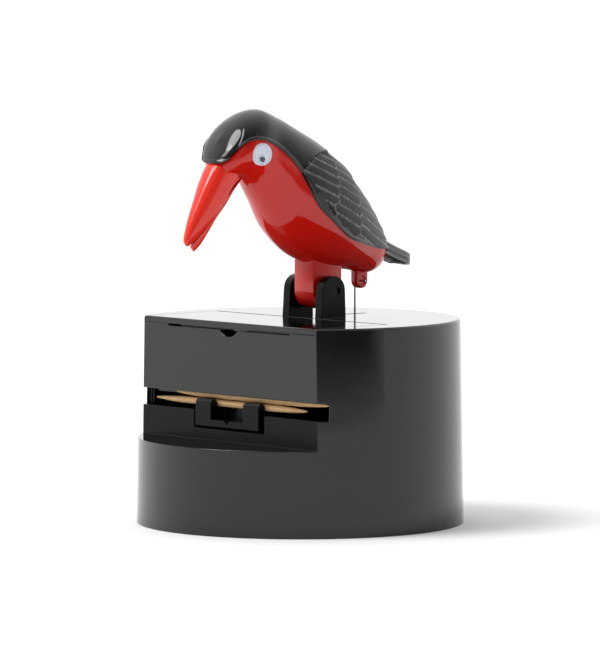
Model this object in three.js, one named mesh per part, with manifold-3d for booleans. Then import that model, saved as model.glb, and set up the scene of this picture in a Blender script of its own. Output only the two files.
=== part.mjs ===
// A pecking-bird toothpick dispenser. A plastic bird stands on a round hopper with a flat front. Pressing its
// head down turns it on the clevis at its foot, a wire from its tail end lifts the feed lever, and the lever's
// fork swings one toothpick out of the front slot to the beak.
// Millimetres, +Z up, origin at the centre of the underside, and the bird faces -Y.
import * as THREE from 'three';
import { mergeVertices } from 'three/addons/utils/BufferGeometryUtils.js';
import Module from 'manifold-3d';

// ---- clearances
const gap = 0.3; // between pieces that touch
const runningGap = 0.15; // between a pin and its hole
const reach = 5; // how far a cutting body runs past what it cuts
const sides = 12; // facets of a small pin or hole
const weldTolerance = 0.005;
const sliverVolume = 1e-3;
const sink = 0.5; // how far one joined body is buried in the next

// ---- toothpicks
const pickLength = 65;
const pickRadius = 1;
const pickTip = 0.25; // radius of a pick's blunt point
const pickTaper = 14; // length of each pointed end
const pickEndRoom = 2.4; // free space past each end of a pick
const pickRest = 0.2; // between picks, and under one
const frontPickShift = -2.4; // the pick in the fork lies a little to one side
const nextPickShift = 6.5; // and the one above it to the other

// ---- base: an upside-down cup with a flat front
const baseHeight = 58.3;
const draft = 1; // radius lost from the table to the deck
const frontFlat = 27; // from the axis to the flat front
const wall = 2;
const frontWall = 1.8;
const deckThickness = 1.8;
const ledgeHeight = 24.4; // the full round stands out below this
const ledgeThickness = 2;
const deckEdgeRound = 0.5;
const chuteHeadroom = 0.6; // from the slot's top to the tray's floor
const slotBottom = 32.7;
const slotTop = 37.6;
const slotReach = 2.3; // how far past the flat front the slot runs round the side
const sideFacets = 72;

// ---- hopper lid
const lidThickness = 1.7;
const lidOverlap = 1.3; // the lid reaches past the hopper's inside on each side
const lidSideWall = 0.8; // from the lid's edge to the corner of the flat front
const lidSeam = 0.25;
const lidRearSeam = 0.5; // room for the rear edge to turn
const lidRearY = 0.1;
const lidPinRadius = 0.55;
const lidPinLength = 1.2;
const lidPinInset = 0.75; // from the lid's rear edge to its pins
const lidPinDepth = 0.95; // below the deck
const lidPinPad = 2; // of deck round each pin
const lidPinEndPad = 1.4;
const lidRearChamfer = 0.6; // clears the seat as the lid swings up
const lidFrontChamfer = 0.3;
const lidFloorGap = 0.1;
const lidRimHeight = 1;
const lidRimWall = 1.2;
const seatThickness = 1.6; // of the frame that the lid lies on
const seatWidth = 2.6;
const seatRear = 2.4; // of the frame behind the lid
const nailNotchWidth = 8.4;
const nailNotchDepth = 2.4;
const lidReliefHalf = 26.3;
const lidReliefDepth = 0.6;

// ---- hopper tray
const trayWall = 1.1;
const trayFloor = 1.4;
const trayRise = 6.5; // of the floor, from the chute to the back
const trayDepth = 20;
const chuteDepth = 2.6; // a toothpick and its play
const chuteLip = 1.2;
const trayTab = 6.8;
const trayTabHalf = 2.6;
const trayTabThickness = 1.6;
const trayTabRise = 1.5; // above the floor's high end
const trayBossRadius = 2.1;
const trayScrewBack = 14; // from the tray's front to its screws
const spillGap = 1; // from the chute's lip to the tray's floor plate
const stockRow = 5; // spare toothpicks lying on the floor
const stockUpper = 3; // and in the gaps above them
const stockStart = 2.2;
const stockStep = 2.2;
const stockLayer = 1.9;

// ---- clevis and pivot of the bird
const pivotY = 6.8;
const pivotRise = 7.8; // above the deck
const pivotPinRadius = 0.75;
const pivotPinHalf = 7.9;
const earInner = 5.6;
const earThickness = 2.8;
const earRadius = 4.25;
const earTopOffset = -1.4; // the round top's centre, from the pivot
const earFootFront = -6.15;
const earFootRear = 3.1;

// ---- feed lever
const axleY = -20;
const axleZ = 11;
const axleRadius = 1.5;
const axleHalf = 20.5;
const hubRadius = 3.4;
const hubHalf = 16.4;
const forkHalf = 13.5;
const postWidth = 6.5;
const postTop = 36;
const postDepth = 2.55;
const postRound = 0.8;
const forkProud = 0.75; // how far the fork stands out of the flat front
const forkBarBottom = 28.3;
const forkBarHeight = 2;
const vNotchWidth = 2.6;
const vNotchDepth = 1.2;
const forkPickPlay = 0.4; // from the front pick to the chute's lip
const seatLip = 1.1;
const lipThickness = 0.8;
const gateReach = 8; // how far the gate runs back under the chute
const gateThickness = 1.5;
const leverArmFront = -19.6;
const leverPlate = 2.4;
const leverArmHalf = 3;
const leverArmHeight = 3;
const leverHaunch = 0.6; // the gate's root is this much deeper than the gate
const eyeTabInner = -0.8;
const eyeTabOuter = 2.4;
const eyeTabRadius = 4.4;
const eyeSlotHalfLength = 2.6; // the wire's lower end has play in this slot
const eyeSlotHalfHeight = 2.1;
const pocketGap = 1.7;
const pocketBottomGap = 0.7;
const springSeatRise = 2.5; // of the lever's peg inside the coil

// ---- wire between the bird and the lever
const wireRadius = 0.3;
const wireX = -1.75;
const wireTopEnd = 2.7;
const wireFootEnd = 3.6;
const slitHalf = 0.8;
const slitFront = 13;
const slitRear = 26.9;
const wireSides = 4;

// ---- return spring
const springY = 8;
const springRadius = 2.6;
const springWire = 0.3;
const springTurns = 8;
const springPostRadius = 3.6;
const springPegRadius = 1.7;
const springPegLength = 4;
const springPostBottom = 34;
const springRest = 0.1;

// ---- bottom cover
const coverThickness = 2.4;
const coverRecess = 0.8;
const coverGap = 0.4;
const bossRadius = 3.4;
const bossHeight = 13;
const bossRoom = 1.4; // from a boss to the wall
const bossRib = 2;
const bossRoof = 2; // of plastic above a screw hole
const bossAngles = [30, 150, 270];
const screwHeadRadius = 2.6;
const screwHeadHeight = 1.2;
const screwRadius = 1.1;
const screwLength = 8;
const driveRadius = 1.1;
const driveDepth = 0.7;
const driveHalf = 0.3;
const headEdge = 0.5; // rounded off a screw head's rim
const screwRest = 0.1; // under a screw's head
const bearingThickness = 2.5;
const bearingHalfWidth = 3.6;
const bearingTop = 4; // of a bearing lug above the axle

// ---- bird, from its pivot
const bodyTilt = THREE.MathUtils.degToRad(33);
const crownY = -35.1; // the front end of the body's long axis
const crownZ = 45;
const bodyWidthRatio = 0.86; // of a section's width to its height
const bodyWall = 1.8;
// Stations of the body: distance along its axis, height of the section's centre, half-height.
const bodyStations = [
  [0, -1.8, 0], [1, -2.4, 6.9], [3, -1.2, 9.9], [6, 0.8, 11], [12, 2.9, 10.5], [20, 2.2, 12.2],
  [30, 0.5, 14.8], [40, -0.5, 15.1], [50, -0.4, 12.9], [60, 0.3, 8.8], [67, 0.1, 5.4], [71.3, 0, 0],
];
// Where the dark back meets the red body, along the same axis, from the beak over the eye to the tail.
const splitLine = [
  [-4, -9.3], [0.9, -9], [1.4, -4.5], [2.7, -0.5], [5.6, 1.9], [10.9, 3.4], [16, 3.1], [20.7, 1.7],
  [25, -0.6], [30, -3.3], [35, -4.5], [46, -4.9], [53, -3.1], [60, -0.6], [67, 2.5], [75, 5],
];
const splitSteps = 40;
const footHalf = 4.1;
const footRadius = 5.5;
const footTop = 9; // buried in the belly
const lugY = 15.8;
const lugZ = 1.9;
const lugRadius = 2.2;
const lugInner = -1.1;
const lugOuter = 1.45;
const lugTop = 6;
const tailStart = 62;
const tailEnd = 80;
const tailHalf = 3.9;
const tailRootHalf = 3.1;
const tailLow = 3.7;
const tailThickness = 1.9;

// ---- beak, from the bird's pivot: ridge and mouth edge (y, z) and the half-width at each station
const upperBeak = [
  { ridge: [-38.8, 39.1], edge: [-31.8, 37.9], half: 3.6 },
  { ridge: [-41.8, 37.3], edge: [-32.7, 34.9], half: 4.8 },
  { ridge: [-43.6, 32.4], edge: [-35.6, 30.4], half: 4.2 },
  { ridge: [-46, 26.4], edge: [-39.1, 24.5], half: 3.2 },
  { ridge: [-48, 22.1], edge: [-41.6, 21.3], half: 2.5 },
  { ridge: [-49.6, 17.7], edge: [-45.4, 17.6], half: 1.6 },
  { ridge: [-50.1, 15.5], edge: [-47.4, 15.6], half: 1 },
  { ridge: [-49.4, 14.2], edge: [-48.6, 14.4], half: 0.5 },
];
const beakSocketEnd = { ridge: [-37.6, 41.6], edge: [-31, 40.2], half: 3.8 };
const lowerBeak = [
  { ridge: [-31.9, 31.6], edge: [-30, 33.1], half: 2.1 },
  { ridge: [-35.2, 25.8], edge: [-36.6, 27.1], half: 2.1 },
  { ridge: [-38.7, 22], edge: [-40.7, 22], half: 1.9 },
  { ridge: [-41.7, 17.8], edge: [-43.4, 18.8], half: 1.4 },
  { ridge: [-44.6, 14.2], edge: [-46, 16.2], half: 0.9 },
  { ridge: [-46.7, 12.6], edge: [-47.7, 14], half: 0.4 },
];
const beakWall = 1.1;
const cheekInner = 2.5;
const cheekThickness = 1.1;
const jawY = -28.4;
const jawZ = 35.4;
const jawEyeRadius = 1.5;
const jawPinRadius = 0.6;
const jawTongueHalf = 2.1;
// Side outlines (y, z): the upper beak's cheeks that hold the jaw pin, the lower beak's root behind its blade,
// and the opening in the throat that both pass through.
const cheekOutline = [
  [-36.5, 36.5], [-31.5, 33.6], [jawY + 0.4, jawZ - 1.6], [jawY + 1.6, jawZ], [jawY + 0.6, jawZ + 1.6],
  [-31.5, 37.8], [-36, 37.8],
];
const tongueOutline = [
  [-35.5, 28.5], [-31.9, 32], [jawY + 0.6, jawZ - 1.3], [jawY - 0.9, jawZ + 1.2], [-34.5, 31.5],
];
const mouthOutline = [[-34.5, 36.8], [-33, 30.2], [-26.2, 30.2], [-25.6, 37.6], [-31, 39.5]];

// ---- eyes, from the bird's pivot
const eyeX = 8.5;
const eyeY = -29.1;
const eyeZ = 39.7;
const eyeToe = THREE.MathUtils.degToRad(12); // how far each eye looks ahead
const eyeRadius = 3;
const eyeDisc = 0.5;
const eyeDome = 1.5;
const eyeShell = 0.3;
const pupilRadius = 0.8;
const pupilOffset = 1.45;
const pupilThickness = 0.4;

// ---- worked-out places
const hopperHalf = pickLength / 2 + pickEndRoom;
const lidHalf = hopperHalf + lidOverlap;
const topRadius = Math.hypot(lidHalf + lidSideWall, frontFlat);
const bottomRadius = topRadius + draft;
const frontInside = frontWall - frontFlat;
const deckUnderside = baseHeight - deckThickness;
const pivotZ = baseHeight + pivotRise;
const coverTop = coverRecess + coverThickness;
const trayFront = frontInside + gap;
const trayBack = trayFront + trayDepth;
const trayScrewX = hopperHalf + trayWall + trayTab / 2 - 0.4;
const trayScrewY = trayFront + trayScrewBack;
const trayTop = deckUnderside - seatThickness - gap;
const floorFront = slotTop + chuteHeadroom;
const trayTabTop = floorFront + trayRise + trayTabRise;
const lidFloor = baseHeight - lidThickness - lidFloorGap;
const lidPinY = lidRearY - lidPinInset;
const lidPinZ = baseHeight - lidPinDepth;
const lidPinEnd = lidHalf + lidPinLength;
const lipY = frontInside + chuteDepth;
const postFront = -frontFlat - forkProud;
const seatZ = slotBottom + 1;
const forkPickY = lipY - pickRadius - forkPickPlay;
const forkPickZ = seatZ + pickRadius + 0.1;
const pocketBottom = forkBarBottom - pocketBottomGap;
const wireY = pivotY + lugY;
const wireTop = pivotZ + lugZ;
const leverArmLow = axleZ - leverArmHeight / 2;
const bossCircleRadius = bottomRadius - wall - draft - bossRadius - bossRoom;

const wasm = await Module();
wasm.setup();

// ---- shape helpers

// Signed volume of an indexed geometry, to tell whether its faces point outwards.
function signedVolume(position, index) {
  const [a, b, c] = [new THREE.Vector3(), new THREE.Vector3(), new THREE.Vector3()];
  let total = 0;
  for (let i = 0; i < index.length; i += 3) {
    a.fromBufferAttribute(position, index[i]);
    b.fromBufferAttribute(position, index[i + 1]);
    c.fromBufferAttribute(position, index[i + 2]);
    total += a.dot(b.cross(c));
  }
  return total / 6;
}

// A closed three.js geometry as a solid.
function solid(geometry) {
  const bare = geometry.clone();
  bare.deleteAttribute('normal');
  bare.deleteAttribute('uv');
  const merged = mergeVertices(bare, 1e-4);
  const kept = [];
  for (let i = 0; i < merged.index.count; i += 3) {
    const [a, b, c] = [0, 1, 2].map((k) => merged.index.getX(i + k));
    if (a !== b && b !== c && c !== a) kept.push(a, b, c);
  }
  if (signedVolume(merged.attributes.position, kept) < 0) kept.reverse();
  const vertProperties = new Float32Array(merged.attributes.position.array);
  return new wasm.Manifold(new wasm.Mesh({ numProp: 3, vertProperties, triVerts: new Uint32Array(kept) }));
}

// A solid with the slivers that rounding to 32-bit numbers leaves taken away.
function settled(body) {
  const { vertProperties, triVerts } = body.simplify(weldTolerance).getMesh();
  const rounded = new wasm.Manifold(new wasm.Mesh({ numProp: 3, vertProperties, triVerts }));
  return union(...rounded.decompose().filter((part) => Math.abs(part.volume()) > sliverVolume));
}

// A solid as a three.js geometry.
function geometryOf(body) {
  const mesh = settled(body).getMesh();
  const geometry = new THREE.BufferGeometry();
  geometry.setAttribute('position', new THREE.Float32BufferAttribute(mesh.vertProperties, 3));
  geometry.setIndex(Array.from(mesh.triVerts));
  geometry.computeVertexNormals();
  return geometry;
}

const union = (first, ...rest) => rest.reduce((sum, next) => sum.add(next), first);
const cut = (first, ...rest) => rest.reduce((left, next) => left.subtract(next), first);

function box(x0, x1, y0, y1, z0, z1) {
  const geometry = new THREE.BoxGeometry(x1 - x0, y1 - y0, z1 - z0);
  return solid(geometry.translate((x0 + x1) / 2, (y0 + y1) / 2, (z0 + z1) / 2));
}

// An outline given as a Shape or as [a, b] pairs, extruded from one value to another along an axis.
// The outline lies in (y, z) for x, in (x, z) for y and in (x, y) for z.
function prism(outline, axis, from, to, curveSegments = 10) {
  const given = outline instanceof THREE.Shape;
  const shape = given ? outline : new THREE.Shape(outline.map(([a, b]) => new THREE.Vector2(a, b)));
  const geometry = new THREE.ExtrudeGeometry(shape, { depth: to - from, bevelEnabled: false, curveSegments });
  const [x, y, z] = [new THREE.Vector3(1, 0, 0), new THREE.Vector3(0, 1, 0), new THREE.Vector3(0, 0, 1)];
  const turn = new THREE.Matrix4();
  if (axis === 'x') turn.makeBasis(y, z, x).setPosition(from, 0, 0);
  if (axis === 'y') turn.makeBasis(x, z, y.clone().negate()).setPosition(0, to, 0);
  if (axis === 'z') turn.makeBasis(x, y, z).setPosition(0, 0, from);
  return solid(geometry.applyMatrix4(turn));
}

// The two x values of a stretch on the bird's left (+1) or right (-1), lowest first.
const sideSpan = (side, inner, outer) => (side > 0 ? [inner, outer] : [-outer, -inner]);

function disc(a, b, radius) {
  const shape = new THREE.Shape();
  shape.absarc(a, b, radius, 0, 2 * Math.PI);
  return shape;
}

const rodX = (y, z, radius, x0, x1, facets = sides) => prism(disc(y, z, radius), 'x', x0, x1, facets);
const rodZ = (x, y, radius, z0, z1, facets = sides) => prism(disc(x, y, radius), 'z', z0, z1, facets);

// A profile of [radius, height] pairs turned about +Z.
function turned(profile, facets) {
  const points = profile.map(([radius, height]) => new THREE.Vector2(radius, height));
  return new THREE.LatheGeometry(points, facets).rotateX(Math.PI / 2);
}

// A closed skin through rings of equally many points, from one end point to the other.
function loft(rings, firstEnd, lastEnd) {
  const count = rings[0].length;
  const points = [...rings.flat(), firstEnd, lastEnd];
  const index = [];
  for (let k = 0; k < count; k += 1) {
    const next = (k + 1) % count;
    for (let r = 0; r + 1 < rings.length; r += 1) {
      const [a, b, c, d] = [r * count + k, r * count + next, (r + 1) * count + k, (r + 1) * count + next];
      index.push(a, c, b, b, c, d);
    }
    const last = (rings.length - 1) * count;
    index.push(points.length - 2, k, next, points.length - 1, last + next, last + k);
  }
  const geometry = new THREE.BufferGeometry().setFromPoints(points);
  geometry.setIndex(index);
  return solid(geometry);
}

const mean = (ring) => ring.reduce((sum, p) => sum.add(p), new THREE.Vector3()).divideScalar(ring.length);

// ---- base

const radiusAt = (z) => bottomRadius - (draft * z) / baseHeight;

function housing() {
  const outer = solid(turned([
    [0, 0], [bottomRadius, 0], [topRadius, baseHeight - deckEdgeRound],
    [topRadius - deckEdgeRound, baseHeight], [0, baseHeight],
  ], sideFacets));
  const hollow = solid(turned([
    [0, -reach], [radiusAt(-reach) - wall, -reach], [radiusAt(deckUnderside) - wall, deckUnderside],
    [0, deckUnderside],
  ], sideFacets));
  const wide = bottomRadius + reach;
  const high = baseHeight + reach;
  const frontBlock = box(-wide, wide, -wide, frontInside, ledgeHeight - ledgeThickness, high);
  let body = cut(outer, cut(hollow, frontBlock), box(-wide, wide, -wide, -frontFlat, ledgeHeight, high));
  body = union(body, lidSeat(), ...lidSockets(), ...ears(), springPost(), ...coverBosses(), ...trayBosses());
  const slotHalf = lidHalf + lidSideWall + slotReach;
  return cut(
    body,
    box(-slotHalf, slotHalf, -wide, lipY, slotBottom, slotTop),
    box(-forkHalf - pocketGap, forkHalf + pocketGap, -wide, frontInside + gap, pocketBottom, slotBottom + gap),
    box(-lidHalf - lidSeam, lidHalf + lidSeam, -wide, lidRearY + lidRearSeam, lidFloor, high),
    box(-hopperHalf, hopperHalf, frontInside, trayBack - trayWall, trayTop, high),
    box(-lidReliefHalf, lidReliefHalf, -wide, frontInside + gap, lidFloor - lidReliefDepth, high),
    nailNotch(),
    rodX(lidPinY, lidPinZ, lidPinRadius + runningGap, -lidPinEnd - gap, lidPinEnd + gap),
    box(wireX - slitHalf, wireX + slitHalf, slitFront, slitRear, deckUnderside - reach, high),
    rodX(pivotY, pivotZ, pivotPinRadius + runningGap, -earInner - reach, earInner + reach),
  );
}

// The ledge round the hopper's mouth that the lid lies on.
function lidSeat() {
  const half = hopperHalf + seatWidth;
  const low = deckUnderside - seatThickness;
  return box(-half, half, frontInside - sink, lidRearY + seatRear, low, deckUnderside + sink);
}

// Thicker pads of the deck round the lid's pins.
function lidSockets() {
  const low = deckUnderside - seatThickness;
  return [-1, 1].map((side) => {
    const [from, to] = sideSpan(side, lidHalf + lidSeam, lidPinEnd + lidPinEndPad);
    return box(from, to, lidPinY - lidPinPad, lidPinY + lidPinPad, low, deckUnderside + sink);
  });
}

// The two upright ears that the bird's foot turns between.
function ears() {
  const top = new THREE.Shape();
  top.moveTo(pivotY + earFootFront, deckUnderside + sink);
  top.lineTo(pivotY + earFootFront, baseHeight);
  top.absarc(pivotY + earTopOffset, pivotZ, earRadius, Math.PI, 0, true);
  top.lineTo(pivotY + earFootRear, baseHeight);
  top.lineTo(pivotY + earFootRear, deckUnderside + sink);
  return [-1, 1].map((side) => {
    const [from, to] = sideSpan(side, earInner, earInner + earThickness);
    return prism(top, 'x', from, to, 8);
  });
}

// The post under the deck that the return spring pushes against, with a peg inside the coil.
function springPost() {
  const peg = rodZ(0, springY, springPegRadius, springPostBottom - springPegLength, springPostBottom + sink);
  return union(rodZ(0, springY, springPostRadius, springPostBottom, deckUnderside + sink), peg);
}

const bossCentre = (angle) => {
  const turn = THREE.MathUtils.degToRad(angle);
  return [bossCircleRadius * Math.cos(turn), bossCircleRadius * Math.sin(turn), turn];
};

// Screw bosses for the bottom cover, each tied to the wall by a rib.
function coverBosses() {
  return bossAngles.map((angle) => {
    const [x, y, turn] = bossCentre(angle);
    const low = coverTop + gap;
    const ribLength = bottomRadius - wall / 2 - bossCircleRadius;
    const rib = new THREE.BoxGeometry(ribLength, bossRib, bossHeight - gap);
    rib.translate(ribLength / 2, 0, (bossHeight - gap) / 2);
    rib.rotateZ(turn).translate(x, y, low);
    const boss = union(rodZ(x, y, bossRadius, low, low + bossHeight), solid(rib));
    return cut(boss, rodZ(x, y, screwRadius + runningGap, low - reach, low + bossHeight - bossRoof));
  });
}

// Posts under the deck that the tray's two tabs are screwed to.
function trayBosses() {
  return [-1, 1].map((side) => {
    const post = rodZ(side * trayScrewX, trayScrewY, trayBossRadius, trayTabTop + gap, deckUnderside + sink);
    return cut(post, rodZ(side * trayScrewX, trayScrewY, screwRadius + runningGap, trayTabTop,
      trayTabTop + screwLength));
  });
}

// The half-moon at the top of the front, where a fingernail lifts the lid.
function nailNotch() {
  const radius = ((nailNotchWidth / 2) ** 2 + nailNotchDepth ** 2) / (2 * nailNotchDepth);
  const moon = disc(0, lidFloor - nailNotchDepth + radius, radius);
  return prism(moon, 'y', -frontFlat - reach, frontInside + gap, 16);
}

function lid() {
  const low = baseHeight - lidThickness;
  const section = [
    [-frontFlat, low], [lidRearY - lidRearChamfer, low], [lidRearY, low + lidRearChamfer],
    [lidRearY, baseHeight - lidRearChamfer], [lidRearY - lidRearChamfer, baseHeight],
    [-frontFlat + lidFrontChamfer, baseHeight], [-frontFlat, baseHeight - lidFrontChamfer],
  ];
  const plate = prism(section, 'x', -lidHalf, lidHalf);
  const rimHalf = hopperHalf - gap;
  const rimFront = frontInside + 2 * gap;
  const rimRear = trayBack - trayWall - gap - lidRimHeight;
  const rim = cut(
    box(-rimHalf, rimHalf, rimFront, rimRear, low - lidRimHeight, low + gap),
    box(-rimHalf + lidRimWall, rimHalf - lidRimWall, rimFront + lidRimWall, rimRear - lidRimWall,
      low - reach, low),
  );
  const pins = rodX(lidPinY, lidPinZ, lidPinRadius, -lidPinEnd, lidPinEnd);
  return union(plate, rim, pins);
}

// The sloped tray that feeds picks to the chute behind the flat front.
function tray() {
  const outerHalf = hopperHalf + trayWall;
  const profile = [
    [lipY, slotTop - chuteLip], [lipY + spillGap, slotTop - chuteLip],
    [lipY + spillGap, floorFront - trayFloor],
    [trayBack, floorFront + trayRise - trayFloor], [trayBack, trayTop], [trayBack - trayWall, trayTop],
    [trayBack - trayWall, floorFront + trayRise], [lipY, floorFront],
  ];
  const side = [
    [trayFront, slotTop + gap], [trayBack, slotTop + gap], [trayBack, trayTop], [trayFront, trayTop],
  ];
  const floor = prism(profile, 'x', -outerHalf, outerHalf);
  const walls = [
    prism(side, 'x', -outerHalf, -hopperHalf),
    prism(side, 'x', hopperHalf, outerHalf),
  ];
  const tabs = [-1, 1].map((sign) => {
    const [from, to] = sideSpan(sign, outerHalf - sink, trayScrewX + trayBossRadius);
    const tab = box(from, to, trayScrewY - trayTabHalf, trayScrewY + trayTabHalf,
      trayTabTop - trayTabThickness, trayTabTop);
    return cut(tab, rodZ(sign * trayScrewX, trayScrewY, screwRadius + runningGap, trayTabTop - reach,
      trayTabTop + reach));
  });
  return union(floor, ...walls, ...tabs);
}

// The disc that closes the base, with the two lugs that carry the lever's axle.
function bottomCover() {
  const radius = bottomRadius - wall - coverGap - (draft * coverTop) / baseHeight;
  const plate = rodZ(0, 0, radius, coverRecess, coverTop, sideFacets / 2);
  const lugs = [-1, 1].map((side) => {
    const [from, to] = sideSpan(side, hubHalf + gap, hubHalf + gap + bearingThickness);
    const lug = box(from, to, axleY - bearingHalfWidth, axleY + bearingHalfWidth, coverTop - sink,
      axleZ + bearingTop);
    return cut(lug, rodX(axleY, axleZ, axleRadius + runningGap, from - 1, to + 1));
  });
  const holes = bossAngles.map((angle) => {
    const [x, y] = bossCentre(angle);
    const counterbore = coverRecess + screwHeadHeight + 2 * screwRest;
    return union(
      rodZ(x, y, screwHeadRadius + gap, coverRecess - 1, counterbore),
      rodZ(x, y, screwRadius + gap, coverRecess, coverTop + 1),
    );
  });
  return cut(union(plate, ...lugs), ...holes);
}

// A pan-head screw pointing up, its head's underside face at the origin.
function screw() {
  const blank = solid(turned([
    [0, -screwHeadHeight], [screwHeadRadius - headEdge, -screwHeadHeight], [screwHeadRadius, -headEdge],
    [screwHeadRadius, 0], [screwRadius, 0], [screwRadius, screwLength - 1], [0, screwLength],
  ], sides));
  const drive = union(
    box(-driveRadius, driveRadius, -driveHalf, driveHalf, -reach, -screwHeadHeight + driveDepth),
    box(-driveHalf, driveHalf, -driveRadius, driveRadius, -reach, -screwHeadHeight + driveDepth),
  );
  return cut(blank, drive);
}

// ---- feed lever

const gateRadius = Math.hypot(lipY + lipThickness - axleY, seatZ + seatLip - axleZ);
// The fork's underside is round about the axle behind its bar, so that it clears the pocket's sill.
const sweepRadius = Math.hypot(-frontFlat - axleY, pocketBottom - axleZ) + gap;
const axleAngle = (y, z) => Math.atan2(z - axleZ, y - axleY);

function feedLever() {
  const armRear = leverArmFront + leverPlate;
  const gateEnd = lipY + lipThickness + gateReach;
  const profile = new THREE.Shape();
  profile.moveTo(postFront, forkBarBottom);
  profile.lineTo(postFront, postTop - postRound);
  profile.lineTo(postFront + postRound, postTop);
  profile.lineTo(postFront + postDepth - postRound, postTop);
  profile.lineTo(postFront + postDepth, postTop - postRound);
  profile.lineTo(postFront + postDepth, seatZ);
  profile.lineTo(lipY, seatZ);
  profile.lineTo(lipY, seatZ + seatLip);
  profile.lineTo(lipY + lipThickness, seatZ + seatLip);
  const start = axleAngle(lipY + lipThickness, seatZ + seatLip);
  const end = Math.acos((gateEnd - axleY) / gateRadius);
  const underStart = Math.acos((leverArmFront - axleY) / sweepRadius);
  const underEnd = Math.PI - Math.asin((forkBarBottom - axleZ) / sweepRadius);
  profile.absarc(axleY, axleZ, gateRadius, start, end, true);
  profile.lineTo(gateEnd, axleZ + gateRadius * Math.sin(end) - gateThickness);
  profile.lineTo(armRear, seatZ - gateThickness - leverHaunch);
  profile.lineTo(armRear, axleZ);
  profile.lineTo(leverArmFront, axleZ);
  profile.absarc(axleY, axleZ, sweepRadius, underStart, underEnd, false);
  const swing = prism(profile, 'x', -forkHalf, forkHalf, 6);
  const hub = rodX(axleY, axleZ, hubRadius, -hubHalf, hubHalf, 20);
  const high = leverArmLow + leverArmHeight;
  const arm = box(-leverArmHalf, leverArmHalf, axleY, wireY - eyeTabRadius + 1, leverArmLow, high);
  const tab = rodX(wireY, axleZ, eyeTabRadius, eyeTabInner, eyeTabOuter, 20);
  const peg = rodZ(0, springY, springPegRadius, high - sink, high + springSeatRise);
  const gapHalf = forkHalf - postWidth;
  const barTop = forkBarBottom + forkBarHeight;
  const notch = [[-vNotchWidth / 2, barTop + 1], [-vNotchWidth / 2, barTop], [0, barTop - vNotchDepth],
    [vNotchWidth / 2, barTop], [vNotchWidth / 2, barTop + 1]];
  return cut(
    union(swing, hub, arm, tab, peg),
    box(-gapHalf, gapHalf, postFront - 1, lipY, barTop, postTop + 1),
    prism(notch, 'y', postFront - 1, postFront + postDepth + 1),
    rodX(axleY, axleZ, axleRadius + runningGap, -hubHalf - 1, hubHalf + 1),
    box(eyeTabInner - 1, eyeTabOuter + 1, wireY - eyeSlotHalfLength, wireY + eyeSlotHalfLength,
      axleZ - eyeSlotHalfHeight, axleZ + eyeSlotHalfHeight),
  );
}

// A double-pointed toothpick along X, centred at the origin.
function toothpick() {
  const half = pickLength / 2;
  const profile = [
    [0, -half], [pickTip, -half + 0.1], [pickRadius * 0.72, -half + pickTaper * 0.45],
    [pickRadius, -half + pickTaper], [pickRadius, half - pickTaper],
    [pickRadius * 0.72, half - pickTaper * 0.45], [pickTip, half - 0.1], [0, half],
  ];
  return geometryOf(solid(turned(profile, 10).rotateY(Math.PI / 2)));
}

// The coil of the return spring, as a tube along a helix.
function returnSpring() {
  const low = leverArmLow + leverArmHeight + springWire + springRest;
  const high = springPostBottom - springWire - springRest;
  const steps = springTurns * 10;
  const points = Array.from({ length: steps + 1 }, (_, k) => {
    const turn = (2 * Math.PI * springTurns * k) / steps;
    return new THREE.Vector3(springRadius * Math.cos(turn), springY + springRadius * Math.sin(turn),
      low + ((high - low) * k) / steps);
  });
  const path = new THREE.CatmullRomCurve3(points);
  const section = new THREE.Shape();
  section.absarc(0, 0, springWire, 0, 2 * Math.PI);
  return geometryOf(solid(new THREE.ExtrudeGeometry(section, { steps, extrudePath: path, curveSegments: 3 })));
}

// The steel wire: bent through the bird's lug at the top and through the lever's slot at the bottom.
function wireLink() {
  const elbow = (z) => {
    const ball = new THREE.SphereGeometry(wireRadius, 2 * wireSides, wireSides + 2).rotateX(Math.PI / 2);
    return solid(ball.translate(wireX, wireY, z));
  };
  return union(
    rodZ(wireX, wireY, wireRadius, axleZ, wireTop, wireSides),
    rodX(wireY, wireTop, wireRadius, wireX, wireTopEnd, wireSides),
    rodX(wireY, axleZ, wireRadius, wireX, wireFootEnd, wireSides),
    elbow(wireTop),
    elbow(axleZ),
  );
}

// ---- bird, in a group whose origin is the pivot

const bodyAxis = (s, n) => [
  crownY + s * Math.cos(bodyTilt) + n * Math.sin(bodyTilt),
  crownZ - s * Math.sin(bodyTilt) + n * Math.cos(bodyTilt),
];

// The bird's smooth body, drawn in by an inset on every side.
function bodyForm(inset, stations, around) {
  const curve = new THREE.CatmullRomCurve3(bodyStations.map((row) => new THREE.Vector3(...row)));
  const length = bodyStations.at(-1)[0];
  const along = (s) => inset + (s * (length - 2 * inset)) / length;
  const rings = [];
  for (let k = 1; k < stations; k += 1) {
    const { x: s, y: centre, z: half } = curve.getPoint((1 - Math.cos((Math.PI * k) / stations)) / 2);
    const high = Math.max(half - inset, 0.05);
    const wide = Math.max(half * bodyWidthRatio - inset, 0.05);
    rings.push(Array.from({ length: around }, (_, i) => {
      const turn = (2 * Math.PI * i) / around;
      const [y, z] = bodyAxis(along(s), centre + high * Math.cos(turn));
      return new THREE.Vector3(wide * Math.sin(turn), y, z);
    }));
  }
  const ends = [bodyStations[0], bodyStations.at(-1)].map(([s, centre]) => {
    const [y, z] = bodyAxis(along(s), centre);
    return new THREE.Vector3(0, y, z);
  });
  return loft(rings, ends[0], ends[1]);
}

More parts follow.
